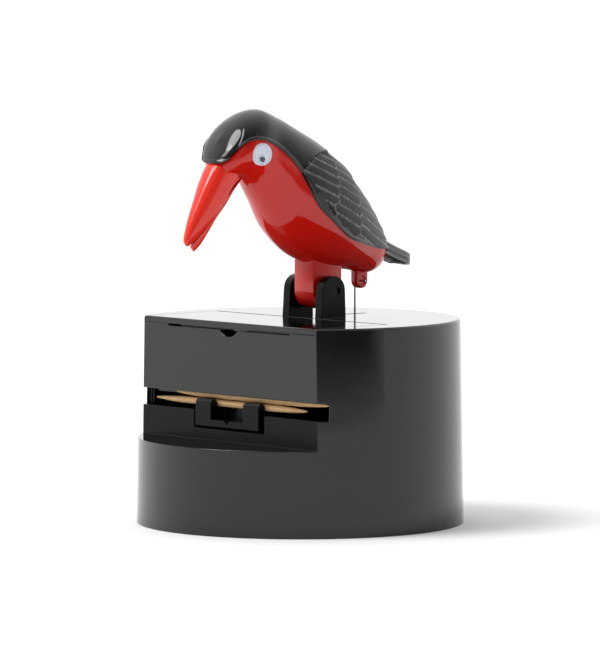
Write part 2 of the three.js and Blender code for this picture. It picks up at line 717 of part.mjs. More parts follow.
// All of space on one side of the split line: above it for +1 and below it for -1.
function splitSide(sign) {
  const line = new THREE.SplineCurve(splitLine.map(([s, n]) => new THREE.Vector2(s, n)));
  const near = Array.from({ length: splitSteps + 1 }, (_, k) => {
    const point = line.getPoint(k / splitSteps);
    const tangent = line.getTangent(k / splitSteps);
    return [point.x - (sign * gap * tangent.y) / 2, point.y + (sign * gap * tangent.x) / 2];
  });
  const far = sign * 30;
  const outline = [...near, [splitLine.at(-1)[0] + 15, far], [-20, far], [-20, near[0][1]]];
  return prism(outline.map(([s, n]) => bodyAxis(s, n)), 'x', -30, 30);
}

// A beak half: an arched section at each station, drawn in or grown by an inset.
function beakForm(rows, inset, arch) {
  const rings = rows.map(({ ridge, edge, half }) => {
    const out = new THREE.Vector2(ridge[0] - edge[0], ridge[1] - edge[1]);
    const depth = out.length();
    out.normalize();
    const wide = Math.max(half - inset, 0.05);
    const ring = arch.map(([x, rise]) => {
      const up = rise > 0 ? rise * Math.max(depth - inset, 0.05) : -Math.max(-inset, 0) - (inset > 0 ? 0.4 : 0);
      return new THREE.Vector3(x * wide, edge[0] + out.x * up, edge[1] + out.y * up);
    });
    return ring;
  });
  return loft(rings, mean(rings[0].map((p) => p.clone())), mean(rings.at(-1).map((p) => p.clone())));
}

// Sections across the beak as [share of the half-width, share of the depth].
const upperArch = [[-1, 0], [-0.99, 0.22], [-0.88, 0.55], [-0.62, 0.84], [-0.24, 0.98], [0.24, 0.98],
  [0.62, 0.84], [0.88, 0.55], [0.99, 0.22], [1, 0]];
const lowerArch = [[-1, 0], [-0.9, 0.55], [-0.45, 0.95], [0.45, 0.95], [0.9, 0.55], [1, 0]];

function upperBeakSolid() {
  const outer = beakForm(upperBeak, 0, upperArch);
  const hollow = beakForm(upperBeak.slice(0, -2), beakWall, upperArch);
  const cheeks = [-1, 1].map((side) => {
    const [from, to] = sideSpan(side, cheekInner, cheekInner + cheekThickness);
    return prism(cheekOutline, 'x', from, to);
  });
  return cut(union(cut(outer, hollow), ...cheeks), jawBore());
}

const jawBore = () => rodX(jawY, jawZ, jawPinRadius + runningGap, -8, 8);

function lowerBeakSolid() {
  const blade = beakForm(lowerBeak, 0, lowerArch);
  const eye = rodX(jawY, jawZ, jawEyeRadius, -jawTongueHalf, jawTongueHalf, 14);
  const root = prism(tongueOutline, 'x', -jawTongueHalf + gap, jawTongueHalf - gap);
  return cut(union(blade, root, eye), jawBore());
}

// Where each eye sits: its own +Z looks out of the head.
function eyeMatrix(side) {
  const outward = new THREE.Vector3(side * Math.cos(eyeToe), -Math.sin(eyeToe), 0);
  const up = new THREE.Vector3(0, 0, 1);
  const across = new THREE.Vector3().crossVectors(up, outward);
  return new THREE.Matrix4().makeBasis(across, up, outward).setPosition(side * eyeX, eyeY, eyeZ);
}

function eyeSeat(side) {
  const plug = turned([[0, -gap], [eyeRadius + gap, -gap], [eyeRadius + gap, reach], [0, reach]], 24);
  return solid(plug.applyMatrix4(eyeMatrix(side)));
}

function mouthOpening() {
  const half = cheekInner + cheekThickness + gap;
  return prism(mouthOutline, 'x', -half, half);
}

function headCuts() {
  const socket = [beakSocketEnd, ...upperBeak.slice(0, 3)];
  return [beakForm(socket, -gap, upperArch), mouthOpening(), eyeSeat(-1), eyeSeat(1)];
}

const bodyHollow = bodyForm(bodyWall, 18, 20);
const bodyOuter = bodyForm(0, 26, 28);

function redBody() {
  const shell = cut(bodyOuter, bodyHollow).intersect(splitSide(-1));
  const belly = bodyForm(bodyWall - 0.6, 18, 20);
  const block = new THREE.Shape();
  block.moveTo(-footRadius, 0);
  block.absarc(0, 0, footRadius, Math.PI, 2 * Math.PI, false);
  block.lineTo(footRadius, footTop);
  block.lineTo(-footRadius, footTop);
  const foot = cut(prism(block, 'x', -footHalf, footHalf, 12), belly);
  const ring = new THREE.Shape();
  ring.absarc(lugY, lugZ, lugRadius, Math.PI, 2 * Math.PI, false);
  ring.lineTo(lugY + lugRadius, lugTop);
  ring.lineTo(lugY - lugRadius, lugTop);
  const lug = cut(prism(ring, 'x', lugInner, lugOuter, 8), belly);
  return cut(
    union(shell, foot, lug),
    rodX(0, 0, pivotPinRadius + runningGap, -footHalf - 1, footHalf + 1),
    rodX(lugY, lugZ, wireRadius + runningGap, lugInner - 1, lugOuter + 1, 8),
    ...headCuts(),
  );
}

function darkBack() {
  const shell = cut(bodyOuter, bodyHollow).intersect(splitSide(1));
  const outline = new THREE.Shape();
  outline.moveTo(-tailRootHalf, tailStart);
  outline.lineTo(-tailHalf, tailEnd - tailHalf);
  outline.absarc(0, tailEnd - tailHalf, tailHalf, Math.PI, 0, true);
  outline.lineTo(tailRootHalf, tailStart);
  const depth = tailThickness;
  const blade = new THREE.ExtrudeGeometry(outline, { depth, bevelEnabled: false, curveSegments: 12 });
  const place = new THREE.Matrix4().makeRotationX(-bodyTilt);
  const [y, z] = bodyAxis(0, tailLow);
  blade.applyMatrix4(place).translate(0, y, z);
  const tail = cut(solid(blade), bodyHollow).intersect(splitSide(1));
  return cut(union(shell, tail), ...headCuts());
}

// ---- eyes

const eyeBack = () => turned([[0, 0], [eyeRadius, 0], [eyeRadius, eyeDisc], [0, eyeDisc]], 24);

function eyeWindow() {
  const cap = (radius, height) => Array.from({ length: 7 }, (_, k) => {
    const turn = (Math.PI / 2) * (k / 6);
    return [radius * Math.sin(turn), eyeDisc + gap / 2 + height * Math.cos(turn)];
  });
  const outer = cap(eyeRadius, eyeDome);
  const inner = cap(eyeRadius - eyeShell, eyeDome - eyeShell).reverse();
  return turned([...outer, ...inner].map(([radius, height]) => [Math.max(radius, 0), height]), 24);
}

function pupil() {
  const low = eyeDisc + gap;
  const high = low + pupilThickness;
  return turned([[0, low], [pupilRadius, low], [pupilRadius, high], [0, high]], sides)
    .translate(0, -pupilOffset, 0);
}

// ---- assembly

const finishes = {
  blackAbs: { color: 0x17181b, roughness: 0.22, metalness: 0 },
  darkAbs: { color: 0x26282b, roughness: 0.3, metalness: 0 },
  redAbs: { color: 0xb5140f, roughness: 0.2, metalness: 0 },
  beakRed: { color: 0xe03020, roughness: 0.3, metalness: 0 },
  birch: { color: 0xd9b284, roughness: 0.75, metalness: 0 },
  steel: { color: 0x8c8f93, roughness: 0.35, metalness: 1 },
  white: { color: 0xf2f2f0, roughness: 0.5, metalness: 0 },
  clear: { color: 0xdfe6ea, roughness: 0.08, metalness: 0 },
  pupil: { color: 0x101012, roughness: 0.35, metalness: 0 },
};

function piece(name, geometry, finish) {
  const mesh = new THREE.Mesh(geometry, new THREE.MeshStandardMaterial(finishes[finish]));
  mesh.name = name;
  return mesh;
}

const dispenser = new THREE.Group();

const base = new THREE.Group();
base.add(
  piece('base_housing', geometryOf(housing()), 'blackAbs'),
  piece('hopper_lid', geometryOf(lid()), 'blackAbs'),
  piece('hopper_tray', geometryOf(tray()), 'darkAbs'),
  piece('bottom_cover', geometryOf(bottomCover()), 'darkAbs'),
  piece('lever_axle', geometryOf(rodX(axleY, axleZ, axleRadius, -axleHalf, axleHalf)), 'steel'),
  piece('feed_lever', geometryOf(feedLever()), 'blackAbs'),
  piece('return_spring', returnSpring(), 'steel'),
  piece('wire_link', geometryOf(wireLink()), 'steel'),
  piece('pivot_pin', geometryOf(rodX(pivotY, pivotZ, pivotPinRadius, -pivotPinHalf, pivotPinHalf)), 'steel'),
);
dispenser.add(base);

const screwGeometry = geometryOf(screw());
bossAngles.forEach((angle, k) => {
  const [x, y] = bossCentre(angle);
  const mesh = piece(`cover_screw_${k + 1}`, screwGeometry, 'steel');
  mesh.position.set(x, y, coverRecess + screwHeadHeight + screwRest);
  base.add(mesh);
});
[['left', 1], ['right', -1]].forEach(([hand, side]) => {
  const mesh = piece(`tray_screw_${hand}`, screwGeometry, 'steel');
  mesh.position.set(side * trayScrewX, trayScrewY, trayTabTop - trayTabThickness - screwRest);
  base.add(mesh);
});

const pickGeometry = toothpick();
function addPick(name, shift, y, z) {
  const mesh = piece(name, pickGeometry, 'birch');
  mesh.position.set(shift, y, z);
  base.add(mesh);
}
addPick('toothpick_front', frontPickShift, forkPickY, forkPickZ);
addPick('toothpick_next', nextPickShift, forkPickY, forkPickZ + 2 * pickRadius + pickRest);
const slope = Math.atan2(trayRise, trayDepth - chuteDepth - trayWall);
for (let k = 0; k < stockRow + stockUpper; k += 1) {
  const upper = k >= stockRow;
  const along = stockStart + (upper ? k - stockRow + 0.5 : k) * stockStep;
  const above = pickRadius + pickRest + (upper ? stockLayer : 0);
  const y = lipY + along * Math.cos(slope) - above * Math.sin(slope);
  const z = floorFront + along * Math.sin(slope) + above * Math.cos(slope);
  addPick(`toothpick_stock_${k + 1}`, (k % 3) * 0.4 - 0.4, y, z);
}

const bird = new THREE.Group();
bird.position.set(0, pivotY, pivotZ);
bird.add(
  piece('body_shell', geometryOf(redBody()), 'redAbs'),
  piece('back_shell', geometryOf(darkBack()), 'blackAbs'),
  piece('upper_beak', geometryOf(upperBeakSolid()), 'beakRed'),
  piece('lower_beak', geometryOf(lowerBeakSolid()), 'beakRed'),
  piece('jaw_pin', geometryOf(rodX(jawY, jawZ, jawPinRadius, -cheekInner - cheekThickness,
    cheekInner + cheekThickness)), 'steel'),
);
[['left', 1], ['right', -1]].forEach(([hand, side]) => {
  const eye = new THREE.Group();
  eye.applyMatrix4(eyeMatrix(side));
  eye.add(
    piece(`eye_back_${hand}`, geometryOf(solid(eyeBack())), 'white'),
    piece(`eye_window_${hand}`, geometryOf(solid(eyeWindow())), 'clear'),
    piece(`pupil_${hand}`, geometryOf(solid(pupil())), 'pupil'),
  );
  bird.add(eye);
});
dispenser.add(bird);

export default dispenser;
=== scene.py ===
"""Pecking-bird toothpick dispenser: the finished look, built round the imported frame.

Lengths in the classes are millimetres, and each mesh is written in metres.
"""
import logging
import math
from collections.abc import Callable, Iterator
from contextlib import contextmanager
from dataclasses import dataclass, field
from enum import Enum

import bpy
import numpy as np
from mathutils import Matrix, Vector


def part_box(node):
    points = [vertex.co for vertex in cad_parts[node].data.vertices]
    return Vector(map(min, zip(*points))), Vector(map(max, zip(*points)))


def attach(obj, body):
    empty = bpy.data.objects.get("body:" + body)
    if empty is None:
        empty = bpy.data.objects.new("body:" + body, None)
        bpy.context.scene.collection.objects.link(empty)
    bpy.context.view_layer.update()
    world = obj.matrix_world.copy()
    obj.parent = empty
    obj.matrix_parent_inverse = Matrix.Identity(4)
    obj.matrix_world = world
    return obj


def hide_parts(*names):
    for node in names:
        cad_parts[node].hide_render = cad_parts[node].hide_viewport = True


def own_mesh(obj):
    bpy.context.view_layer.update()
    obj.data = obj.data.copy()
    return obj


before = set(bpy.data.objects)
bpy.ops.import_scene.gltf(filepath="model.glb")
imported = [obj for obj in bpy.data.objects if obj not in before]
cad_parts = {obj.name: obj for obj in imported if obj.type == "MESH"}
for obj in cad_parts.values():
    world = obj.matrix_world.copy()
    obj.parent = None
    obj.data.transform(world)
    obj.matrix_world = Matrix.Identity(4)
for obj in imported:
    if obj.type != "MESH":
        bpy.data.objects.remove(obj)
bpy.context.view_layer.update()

LOG = logging.getLogger("dispenser")
MM = 0.001
MERGE = 2e-6  # metres, under which two vertices are one
ALONG_X = Matrix.Rotation(math.pi / 2, 4, "Y")  # turns a lathe's +Z to +X
FINE = 48  # steps round a turned piece

Material = bpy.types.Material
Socket = bpy.types.NodeSocket
Thing = bpy.types.Object
Tree = bpy.types.NodeTree


class Hand(Enum):
    """A side of the bird, with the sign that X has there."""

    LEFT = 1
    RIGHT = -1


# ---- small tools


def linear(colour: str) -> tuple[float, float, float, float]:
    """Turns an sRGB hex colour to linear light.

    Args:
        colour: Six hex digits after a hash.

    Returns:
        Red, green, blue and an alpha of one.
    """
    shares = [int(colour[k:k + 2], 16) / 255 for k in (1, 3, 5)]
    light = [c / 12.92 if c <= 0.04045 else ((c + 0.055) / 1.055) ** 2.4 for c in shares]
    return (*light, 1.0)


def add(tree: Tree, kind: str, inputs: dict, **settings: object) -> bpy.types.Node:
    """Adds a shader node.

    Args:
        tree: The tree that it goes in.
        kind: The node's type.
        inputs: A value or another node's socket for each input, by name or number.
        **settings: The node's own settings.

    Returns:
        The new node.
    """
    node = tree.nodes.new(kind)
    for name, value in settings.items():
        setattr(node, name, value)
    for key, value in inputs.items():
        if isinstance(value, Socket):
            tree.links.new(value, node.inputs[key])
        else:
            node.inputs[key].default_value = value
    return node


def noise(tree: Tree, place: Socket, size: float,
          detail: float = 2.0) -> Socket:
    """Adds soft noise with a grain of so many millimetres."""
    node = add(tree, "ShaderNodeTexNoise", {"Vector": place, "Scale": 1 / (size * MM), "Detail": detail})
    return node.outputs["Fac"]


def remap(tree: Tree, value: Socket, given: tuple[float, float],
          wanted: tuple[float, float], **settings: object) -> Socket:
    """Maps the given range of a value to the wanted one."""
    node = add(tree, "ShaderNodeMapRange", {
        "Value": value, "From Min": given[0], "From Max": given[1],
        "To Min": wanted[0], "To Max": wanted[1]}, **settings)
    return node.outputs["Result"]


def blend(tree: Tree, share: Socket, low: object,
          high: object) -> Socket:
    """Mixes two colours, or sockets of colour, by a share."""
    node = add(tree, "ShaderNodeMix", {"Factor": share, 6: low, 7: high}, data_type="RGBA")
    return node.outputs[2]
def select_only(piece: Thing) -> None:
    """Makes the piece the one selected and active object."""
    bpy.ops.object.select_all(action="DESELECT")
    piece.select_set(True)
    bpy.context.view_layer.objects.active = piece


def apply_modifier(piece: Thing, kind: str, **settings: object) -> None:
    """Adds a modifier with its settings and applies it at once."""
    select_only(piece)
    modifier = piece.modifiers.new(kind.title(), kind)
    for name, value in settings.items():
        setattr(modifier, name, value)
    bpy.ops.object.modifier_apply(modifier=modifier.name)


def smooth(piece: Thing, degrees: float = 35.0) -> None:
    """Shades the piece smooth, apart from edges sharper than the angle."""
    select_only(piece)
    bpy.ops.object.shade_smooth_by_angle(angle=math.radians(degrees))


@contextmanager
def editing(piece: Thing) -> Iterator[None]:
    """Opens the piece in edit mode with all of it selected, and closes it again."""
    select_only(piece)
    bpy.ops.object.mode_set(mode="EDIT")
    bpy.ops.mesh.select_all(action="SELECT")
    yield
    bpy.ops.object.mode_set(mode="OBJECT")


def merge(piece: Thing, recalculate: bool = False) -> None:
    """Merges the piece's doubles, and turns a closed piece's faces outwards where asked."""
    with editing(piece):
        bpy.ops.mesh.remove_doubles(threshold=MERGE)
        if recalculate:
            bpy.ops.mesh.normals_make_consistent(inside=False)


def face_out(piece: Thing) -> None:
    """Turns an open skin's faces away from its middle."""
    centre = sum((v.co for v in piece.data.vertices), Vector()) / len(piece.data.vertices)
    facing = sum(p.normal.dot(p.center - centre) * p.area for p in piece.data.polygons)
    if facing < 0:
        with editing(piece):
            bpy.ops.mesh.flip_normals()


def skin(name: str, points: np.ndarray, values: dict[str, np.ndarray] | None = None,
         flat: tuple[np.ndarray, np.ndarray] | None = None) -> Thing:
    """Adds a grid and lays it over a field of points.

    Args:
        name: The piece's name.
        points: Rows by columns by three, in millimetres.
        values: Number fields to keep on the vertices, by attribute name.
        flat: Two fields that become the UV map, in millimetres.

    Returns:
        The open piece.
    """
    rows, columns = points.shape[:2]
    bpy.ops.object.select_all(action="DESELECT")
    bpy.ops.mesh.primitive_grid_add(x_subdivisions=columns - 1, y_subdivisions=rows - 1, size=1.0)
    piece = bpy.context.object
    piece.name = name
    piece.data.name = name
    mesh = piece.data
    co = np.empty(len(mesh.vertices) * 3, dtype=np.float32)
    mesh.vertices.foreach_get("co", co)
    co = co.reshape(-1, 3)
    column = np.rint((co[:, 0] + 0.5) * (columns - 1)).astype(int)
    row = np.rint((co[:, 1] + 0.5) * (rows - 1)).astype(int)
    mesh.vertices.foreach_set("co", (points[row, column] * MM).astype(np.float32).ravel())
    for key, value in (values or {}).items():
        layer = mesh.attributes.new(key, "FLOAT", "POINT")
        layer.data.foreach_set("value", value[row, column].astype(np.float32))
    if flat:
        corner = np.empty(len(mesh.loops), dtype=np.int32)
        mesh.loops.foreach_get("vertex_index", corner)
        pairs = np.stack([part[row, column][corner] for part in flat], axis=-1)
        mesh.uv_layers[0].data.foreach_set("uv", pairs.astype(np.float32).ravel())
    mesh.update()
    return piece


def lathe(name: str, profile: list[tuple[float, float]], facets: int, place: Matrix) -> Thing:
    """Turns a profile round its own +Z.

    Args:
        name: The piece's name.
        profile: Radius and height at each point, from one end of the axis to the other.
        facets: Steps round the axis.
        place: From the profile's frame to the row frame, in millimetres.

    Returns:
        The closed piece.
    """
    turn = np.linspace(0, 2 * math.pi, facets + 1)
    radius, height = (np.array(part)[:, None] for part in zip(*profile))
    level = np.broadcast_to(height, (len(profile), facets + 1))
    points = np.stack([radius * np.cos(turn), radius * np.sin(turn), level], axis=-1)
    basis = np.array(place)
    piece = skin(name, points @ basis[:3, :3].T + basis[:3, 3])
    merge(piece, recalculate=True)
    return piece


def plate(name: str, outline: list[tuple[float, float]], low: float, high: float,
          soft: float) -> Thing:
    """Fills an outline of (y, z) and extrudes it along X, with softened edges.

    Args:
        name: The piece's name.
        outline: The points round it.
        low: Where it starts along X.
        high: Where it ends along X.
        soft: The width of its edges' rounding.

    Returns:
        The closed piece.
    """
    bpy.ops.object.select_all(action="DESELECT")
    bpy.ops.mesh.primitive_circle_add(vertices=len(outline), radius=1.0, fill_type="NGON")
    piece = bpy.context.object
    piece.name = name
    piece.data.name = name
    for vertex, (y, z) in zip(piece.data.vertices, outline):
        vertex.co = Vector((low, y, z)) * MM
    with editing(piece):
        bpy.ops.mesh.extrude_region_move(TRANSFORM_OT_translate={"value": ((high - low) * MM, 0, 0)})
        bpy.ops.mesh.select_all(action="SELECT")
        bpy.ops.mesh.normals_make_consistent(inside=False)
    apply_modifier(piece, "BEVEL", width=soft * MM, segments=2, limit_method="ANGLE",
                   angle_limit=math.radians(40))
    return piece


def tube(name: str, path: np.ndarray, radius: float, facets: int = 16) -> Thing:
    """Lays a round rod along a path.

    Args:
        name: The piece's name.
        path: Points of (x, y, z) in millimetres.
        radius: The rod's radius.
        facets: Steps round the rod.

    Returns:
        The closed piece, with a rounded edge at each end.
    """
    way = np.gradient(path, axis=0)
    way /= np.linalg.norm(way, axis=1)[:, None]
    side = np.cross(way[0], (0.31, 0.9, 0.3))
    turn = np.linspace(0, 2 * math.pi, facets + 1)[:, None]
    rings = []
    for centre, ahead in zip(path, way):
        side = side - ahead * side.dot(ahead)
        side /= np.linalg.norm(side)
        rings.append(centre + radius * (np.cos(turn) * side + np.sin(turn) * np.cross(ahead, side)))
    ends = []
    for k, sign in ((0, -1), (-1, 1)):
        ring = path[k] + (rings[k] - path[k]) * 0.8 + sign * 0.2 * radius * way[k]
        ends.append([ring, np.broadcast_to(ring.mean(axis=0), ring.shape)])
    stack = [ends[0][1], ends[0][0], *rings, ends[1][0], ends[1][1]]
    piece = skin(name, np.array(stack))
    merge(piece, recalculate=True)
    return piece


def cut_away(piece: Thing, tool: Thing) -> None:
    """Cuts the tool from the piece and drops the tool."""
    apply_modifier(piece, "BOOLEAN", operation="DIFFERENCE", object=tool, solver="EXACT")
    bpy.data.objects.remove(tool)


def gather(piece: Thing, *others: Thing) -> None:
    """Makes the others part of the piece's mesh."""
    select_only(piece)
    for other in others:
        other.select_set(True)
    bpy.ops.object.join()


def rounded_copy(node: str, name: str, width: float) -> Thing:
    """Copies a CAD node, merges it to whole faces and rounds its edges as a mould does.

    Args:
        node: The CAD node.
        name: The new piece's name.
        width: The rounding's width.

    Returns:
        The closed piece.
    """
    piece = bpy.data.objects.new(name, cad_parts[node].data.copy())
    bpy.context.scene.collection.objects.link(piece)
    with editing(piece):
        bpy.ops.mesh.remove_doubles(threshold=MERGE)
        bpy.ops.mesh.dissolve_limited(angle_limit=math.radians(0.6))
    apply_modifier(piece, "BEVEL", width=width * MM, segments=3, limit_method="ANGLE",
                   angle_limit=math.radians(32), use_clamp_overlap=True)
    smooth(piece, 38)
    apply_modifier(piece, "WEIGHTED_NORMAL", keep_sharp=True)
    return piece


def spline(knots: list[tuple[float, ...]], steps: int, centripetal: bool) -> np.ndarray:
    """Draws a Catmull-Rom curve through its knots.

    Args:
        knots: The points that it passes through.
        steps: Points for each span.
        centripetal: Whether the spans are timed by the root of their length, or all alike.

    Returns:
        The curve's points, one in each row.
    """
    given = np.array(knots, dtype=float)
    first, last = given[0], given[-1]
    if centripetal:
        first, last = 2 * given[0] - given[1], 2 * given[-1] - given[-2]
    chain = np.vstack([first, given, last])
    t = np.linspace(0, 1, steps, endpoint=False)[:, None]
    spans = []
    for a, b, c, d in zip(chain, chain[1:], chain[2:], chain[3:]):
        before, now, after = (math.sqrt(np.linalg.norm(e)) if centripetal else 1.0
                              for e in (b - a, c - b, d - c))
        start = ((b - a) / before - (c - a) / (before + now) + (c - b) / now) * now
        end = ((c - b) / now - (d - b) / (now + after) + (d - c) / after) * now
        spans.append(b + start * t + (3 * (c - b) - 2 * start - end) * t ** 2
                     + (2 * (b - c) + start + end) * t ** 3)
    return np.vstack([*spans, given[-1:]])


def lookup(curve: np.ndarray, value: np.ndarray) -> np.ndarray:
    """Reads a curve's second number at a value of its first."""
    return np.interp(value, np.maximum.accumulate(curve[:, 0]), curve[:, 1])


def dress(piece: Thing, material: Material, body: str, slot: str,
          *nodes: str) -> None:
    """Gives a new piece its material and body, and hides the CAD nodes that it stands for; its slot is not
    used.
    """
    piece.data.materials.clear()
    piece.data.materials.append(material)
    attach(piece, body)
    if nodes:
        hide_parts(*nodes)
    LOG.info("%s on %s: %d faces", piece.name, body, len(piece.data.polygons))


def finish_node(node: str, material: Material) -> None:
    """Gives a CAD node that stays in view its material."""
    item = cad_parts[node]
    if not item.material_slots:
        item.data.materials.append(material)
    for slot in item.material_slots:
        slot.material = material
    LOG.info("%s keeps its CAD shape", node)


# ---- finishes


@dataclass(frozen=True)
class Finish:
    """A material with its name, its colour and its gloss."""

    name: str
    colour: str
    roughness: float
    ior: float = 1.5

    def start(self) -> tuple[Material, Tree, bpy.types.Node, Socket]:
        """Starts the material.

        Returns:
            The material, its tree, its shader and its object coordinates.
        """
        material = bpy.data.materials.new(self.name)
        material.use_nodes = True
        tree = material.node_tree
        tree.nodes.clear()
        shader = add(tree, "ShaderNodeBsdfPrincipled", {
            "Base Color": linear(self.colour), "Roughness": self.roughness, "IOR": self.ior})
        add(tree, "ShaderNodeOutputMaterial", {"Surface": shader.outputs["BSDF"]})
        place = add(tree, "ShaderNodeTexCoord", {})
        return material, tree, shader, place.outputs["Object"]

    def ripple(self, tree: Tree, place: Socket, size: float,
               depth: float, edge: float = 0.0) -> Socket:
        """Makes a bump of soft noise.

        Args:
            tree: The material's tree.
            place: The coordinates, in metres.
            size: The noise's grain in millimetres.
            depth: The bump's height in millimetres.
            edge: The radius that the light sees on an edge, in millimetres.

        Returns:
            The bumped normal.
        """
        bump = add(tree, "ShaderNodeBump", {"Height": noise(tree, place, size, 3.0), "Strength": 1.0,
                                            "Distance": depth * MM})
        if edge:
            soft = add(tree, "ShaderNodeBevel", {"Radius": edge * MM}, samples=6)
            tree.links.new(soft.outputs["Normal"], bump.inputs["Normal"])
        return bump.outputs["Normal"]


@dataclass(frozen=True)
class MouldedAbs(Finish):
    """Injection-moulded ABS: an even, polished skin with slow flow ripples and hairline handling marks."""

    flow: float = 14.0  # across one flow ripple
    flow_depth: float = 0.02
    mark: float = 0.5  # width of a handling mark, drawn wider than the real one so that it shows
    mark_turn: tuple[float, float, float] = (0.5, 0.3, 0.8)
    mark_draw: tuple[float, float, float] = (1.0, 0.08, 0.5)
    marked: tuple[float, float] = (0.2, 0.45)  # marks times clouds, from none to full haze
    cloud: float = 9.0  # across a patch with more marks
    haze: float = 0.06  # roughness that the marks add
    dust: str = "#3a3b3d"
    dust_share: float = 0.25
    dust_gap: float = 1.3  # from one speck to the next
    dust_reach: tuple[float, float] = (0.12, 0.07)  # of that gap, from a speck's rim to its full colour
    edge: float = 0.0  # radius of the mould's corners
    scatter: float = 0.0  # of the light that enters the plastic

    def build(self) -> Material:
        """Builds the plastic's material."""
        material, tree, shader, place = self.start()
        stretch = add(tree, "ShaderNodeMapping", {
            "Vector": place, "Rotation": self.mark_turn, "Scale": self.mark_draw})
        marks = noise(tree, stretch.outputs["Vector"], self.mark)
        cloud = noise(tree, place, self.cloud, 4.0)
        both = add(tree, "ShaderNodeMath", {0: marks, 1: cloud}, operation="MULTIPLY")
        rough = remap(tree, both.outputs["Value"], self.marked, (self.roughness, self.roughness + self.haze))
        tree.links.new(rough, shader.inputs["Roughness"])
        speck = add(tree, "ShaderNodeTexVoronoi", {
            "Vector": place, "Scale": 1 / (self.dust_gap * MM), "Randomness": 1.0})
        grain = remap(tree, speck.outputs["Distance"], self.dust_reach, (0.0, self.dust_share))
        tint = blend(tree, grain, linear(self.colour), linear(self.dust))
        tree.links.new(tint, shader.inputs["Base Color"])
        bumped = self.ripple(tree, place, self.flow, self.flow_depth, self.edge)
        tree.links.new(bumped, shader.inputs["Normal"])
        if self.scatter:
            shader.inputs["Subsurface Weight"].default_value = self.scatter
            shader.inputs["Subsurface Radius"].default_value = (1.0, 0.25, 0.15)
            shader.inputs["Subsurface Scale"].default_value = 0.8 * MM
        return material


@dataclass(frozen=True)
class PlumageAbs(Finish):
    """Black ABS with a satin plumage relief: dull barbs, pale feather rims that are a painted highlight, and
    a polished hood.
    """

    # colour of the painted highlight along the feather rims
    rim_highlight: str = "#d2d0ca"
    hood: str = "#0b0b0d"
    barb: float = 0.42  # from one barb to the next
    barb_depth: float = 0.05
    highlight_patch: float = 2.5  # across a patch where the painted rim highlight fades
    polish: float = 0.07

    def build(self) -> Material:
        """Builds the plumage material, which reads the piece's painted rim-highlight and gloss attributes."""
        material, tree, shader, place = self.start()
        gloss = add(tree, "ShaderNodeAttribute", {}, attribute_name="gloss").outputs["Fac"]
        rim_highlight = add(tree, "ShaderNodeAttribute", {}, attribute_name="rim_highlight").outputs["Fac"]
        rough = remap(tree, gloss, (0.0, 1.0), (self.roughness, self.polish))
        tree.links.new(rough, shader.inputs["Roughness"])
        # The pale rims are a painted highlight, made patchy by noise.
        highlight_patch = noise(tree, place, self.highlight_patch, 3.0)
        patchy_highlight = add(tree, "ShaderNodeMath", {0: rim_highlight, 1: highlight_patch}, operation="MULTIPLY")
        base = blend(tree, gloss, linear(self.colour), linear(self.hood))
        tint = blend(tree, patchy_highlight.outputs["Value"], base, linear(self.rim_highlight))
        tree.links.new(tint, shader.inputs["Base Color"])
        lay = add(tree, "ShaderNodeUVMap", {}, uv_map="UVMap")
        # The wave node turns by 20 radians over each unit.
        waves = add(tree, "ShaderNodeTexWave", {
            "Vector": lay.outputs["UV"], "Distortion": 1.2, "Detail": 2.0, "Detail Scale": 0.6,
            "Scale": 2 * math.pi / (20 * self.barb)}, bands_direction="Y")
        matt = add(tree, "ShaderNodeMath", {0: 1.0, 1: gloss}, operation="SUBTRACT")
        relief = add(tree, "ShaderNodeBump", {
            "Height": waves.outputs["Fac"], "Strength": matt.outputs["Value"],
            "Distance": self.barb_depth * MM})
        tree.links.new(relief.outputs["Normal"], shader.inputs["Normal"])
        return material


@dataclass(frozen=True)
class Birch(Finish):
    """Turned birch: pale, dry wood with fine fibres along it and darker flecks."""

    dark: str = "#b98a56"
    fibre: float = 0.16  # across a fibre
    fibre_length: float = 9.0
    fleck: tuple[float, float] = (0.38, 0.68)  # of the grain, from pale wood to the dark fleck
    raised: float = 0.06  # height of the fibres

    def build(self) -> Material:
        """Builds the wood, with fibres along X."""
        material, tree, shader, place = self.start()
        drawn = add(tree, "ShaderNodeMapping", {
            "Vector": place, "Scale": (self.fibre / self.fibre_length, 1.0, 1.0)})
        grain = noise(tree, drawn.outputs["Vector"], self.fibre, 4.0)
        band = remap(tree, grain, self.fleck, (0.0, 1.0))
        tint = blend(tree, band, linear(self.colour), linear(self.dark))
        tree.links.new(tint, shader.inputs["Base Color"])
        relief = add(tree, "ShaderNodeBump", {"Height": grain, "Strength": 0.7, "Distance": self.raised * MM})
        tree.links.new(relief.outputs["Normal"], shader.inputs["Normal"])
        return material


@dataclass(frozen=True)
class DrawnSteel(Finish):
    """Drawn steel wire: bright metal with fine die lines along the draw."""

    line: float = 0.12  # across a die line
    draw: tuple[float, float, float] = (1.0, 1.0, 0.02)
    spread: tuple[float, float] = (-0.08, 0.12)  # roughness that the lines take away and add

    def build(self) -> Material:
        """Builds the metal."""
        material, tree, shader, place = self.start()
        shader.inputs["Metallic"].default_value = 1.0
        drawn = add(tree, "ShaderNodeMapping", {"Vector": place, "Scale": self.draw})
        lines = noise(tree, drawn.outputs["Vector"], self.line)
        smoother, rougher = (self.roughness + change for change in self.spread)
        rough = remap(tree, lines, (0.0, 1.0), (smoother, rougher))
        tree.links.new(rough, shader.inputs["Roughness"])
        return material


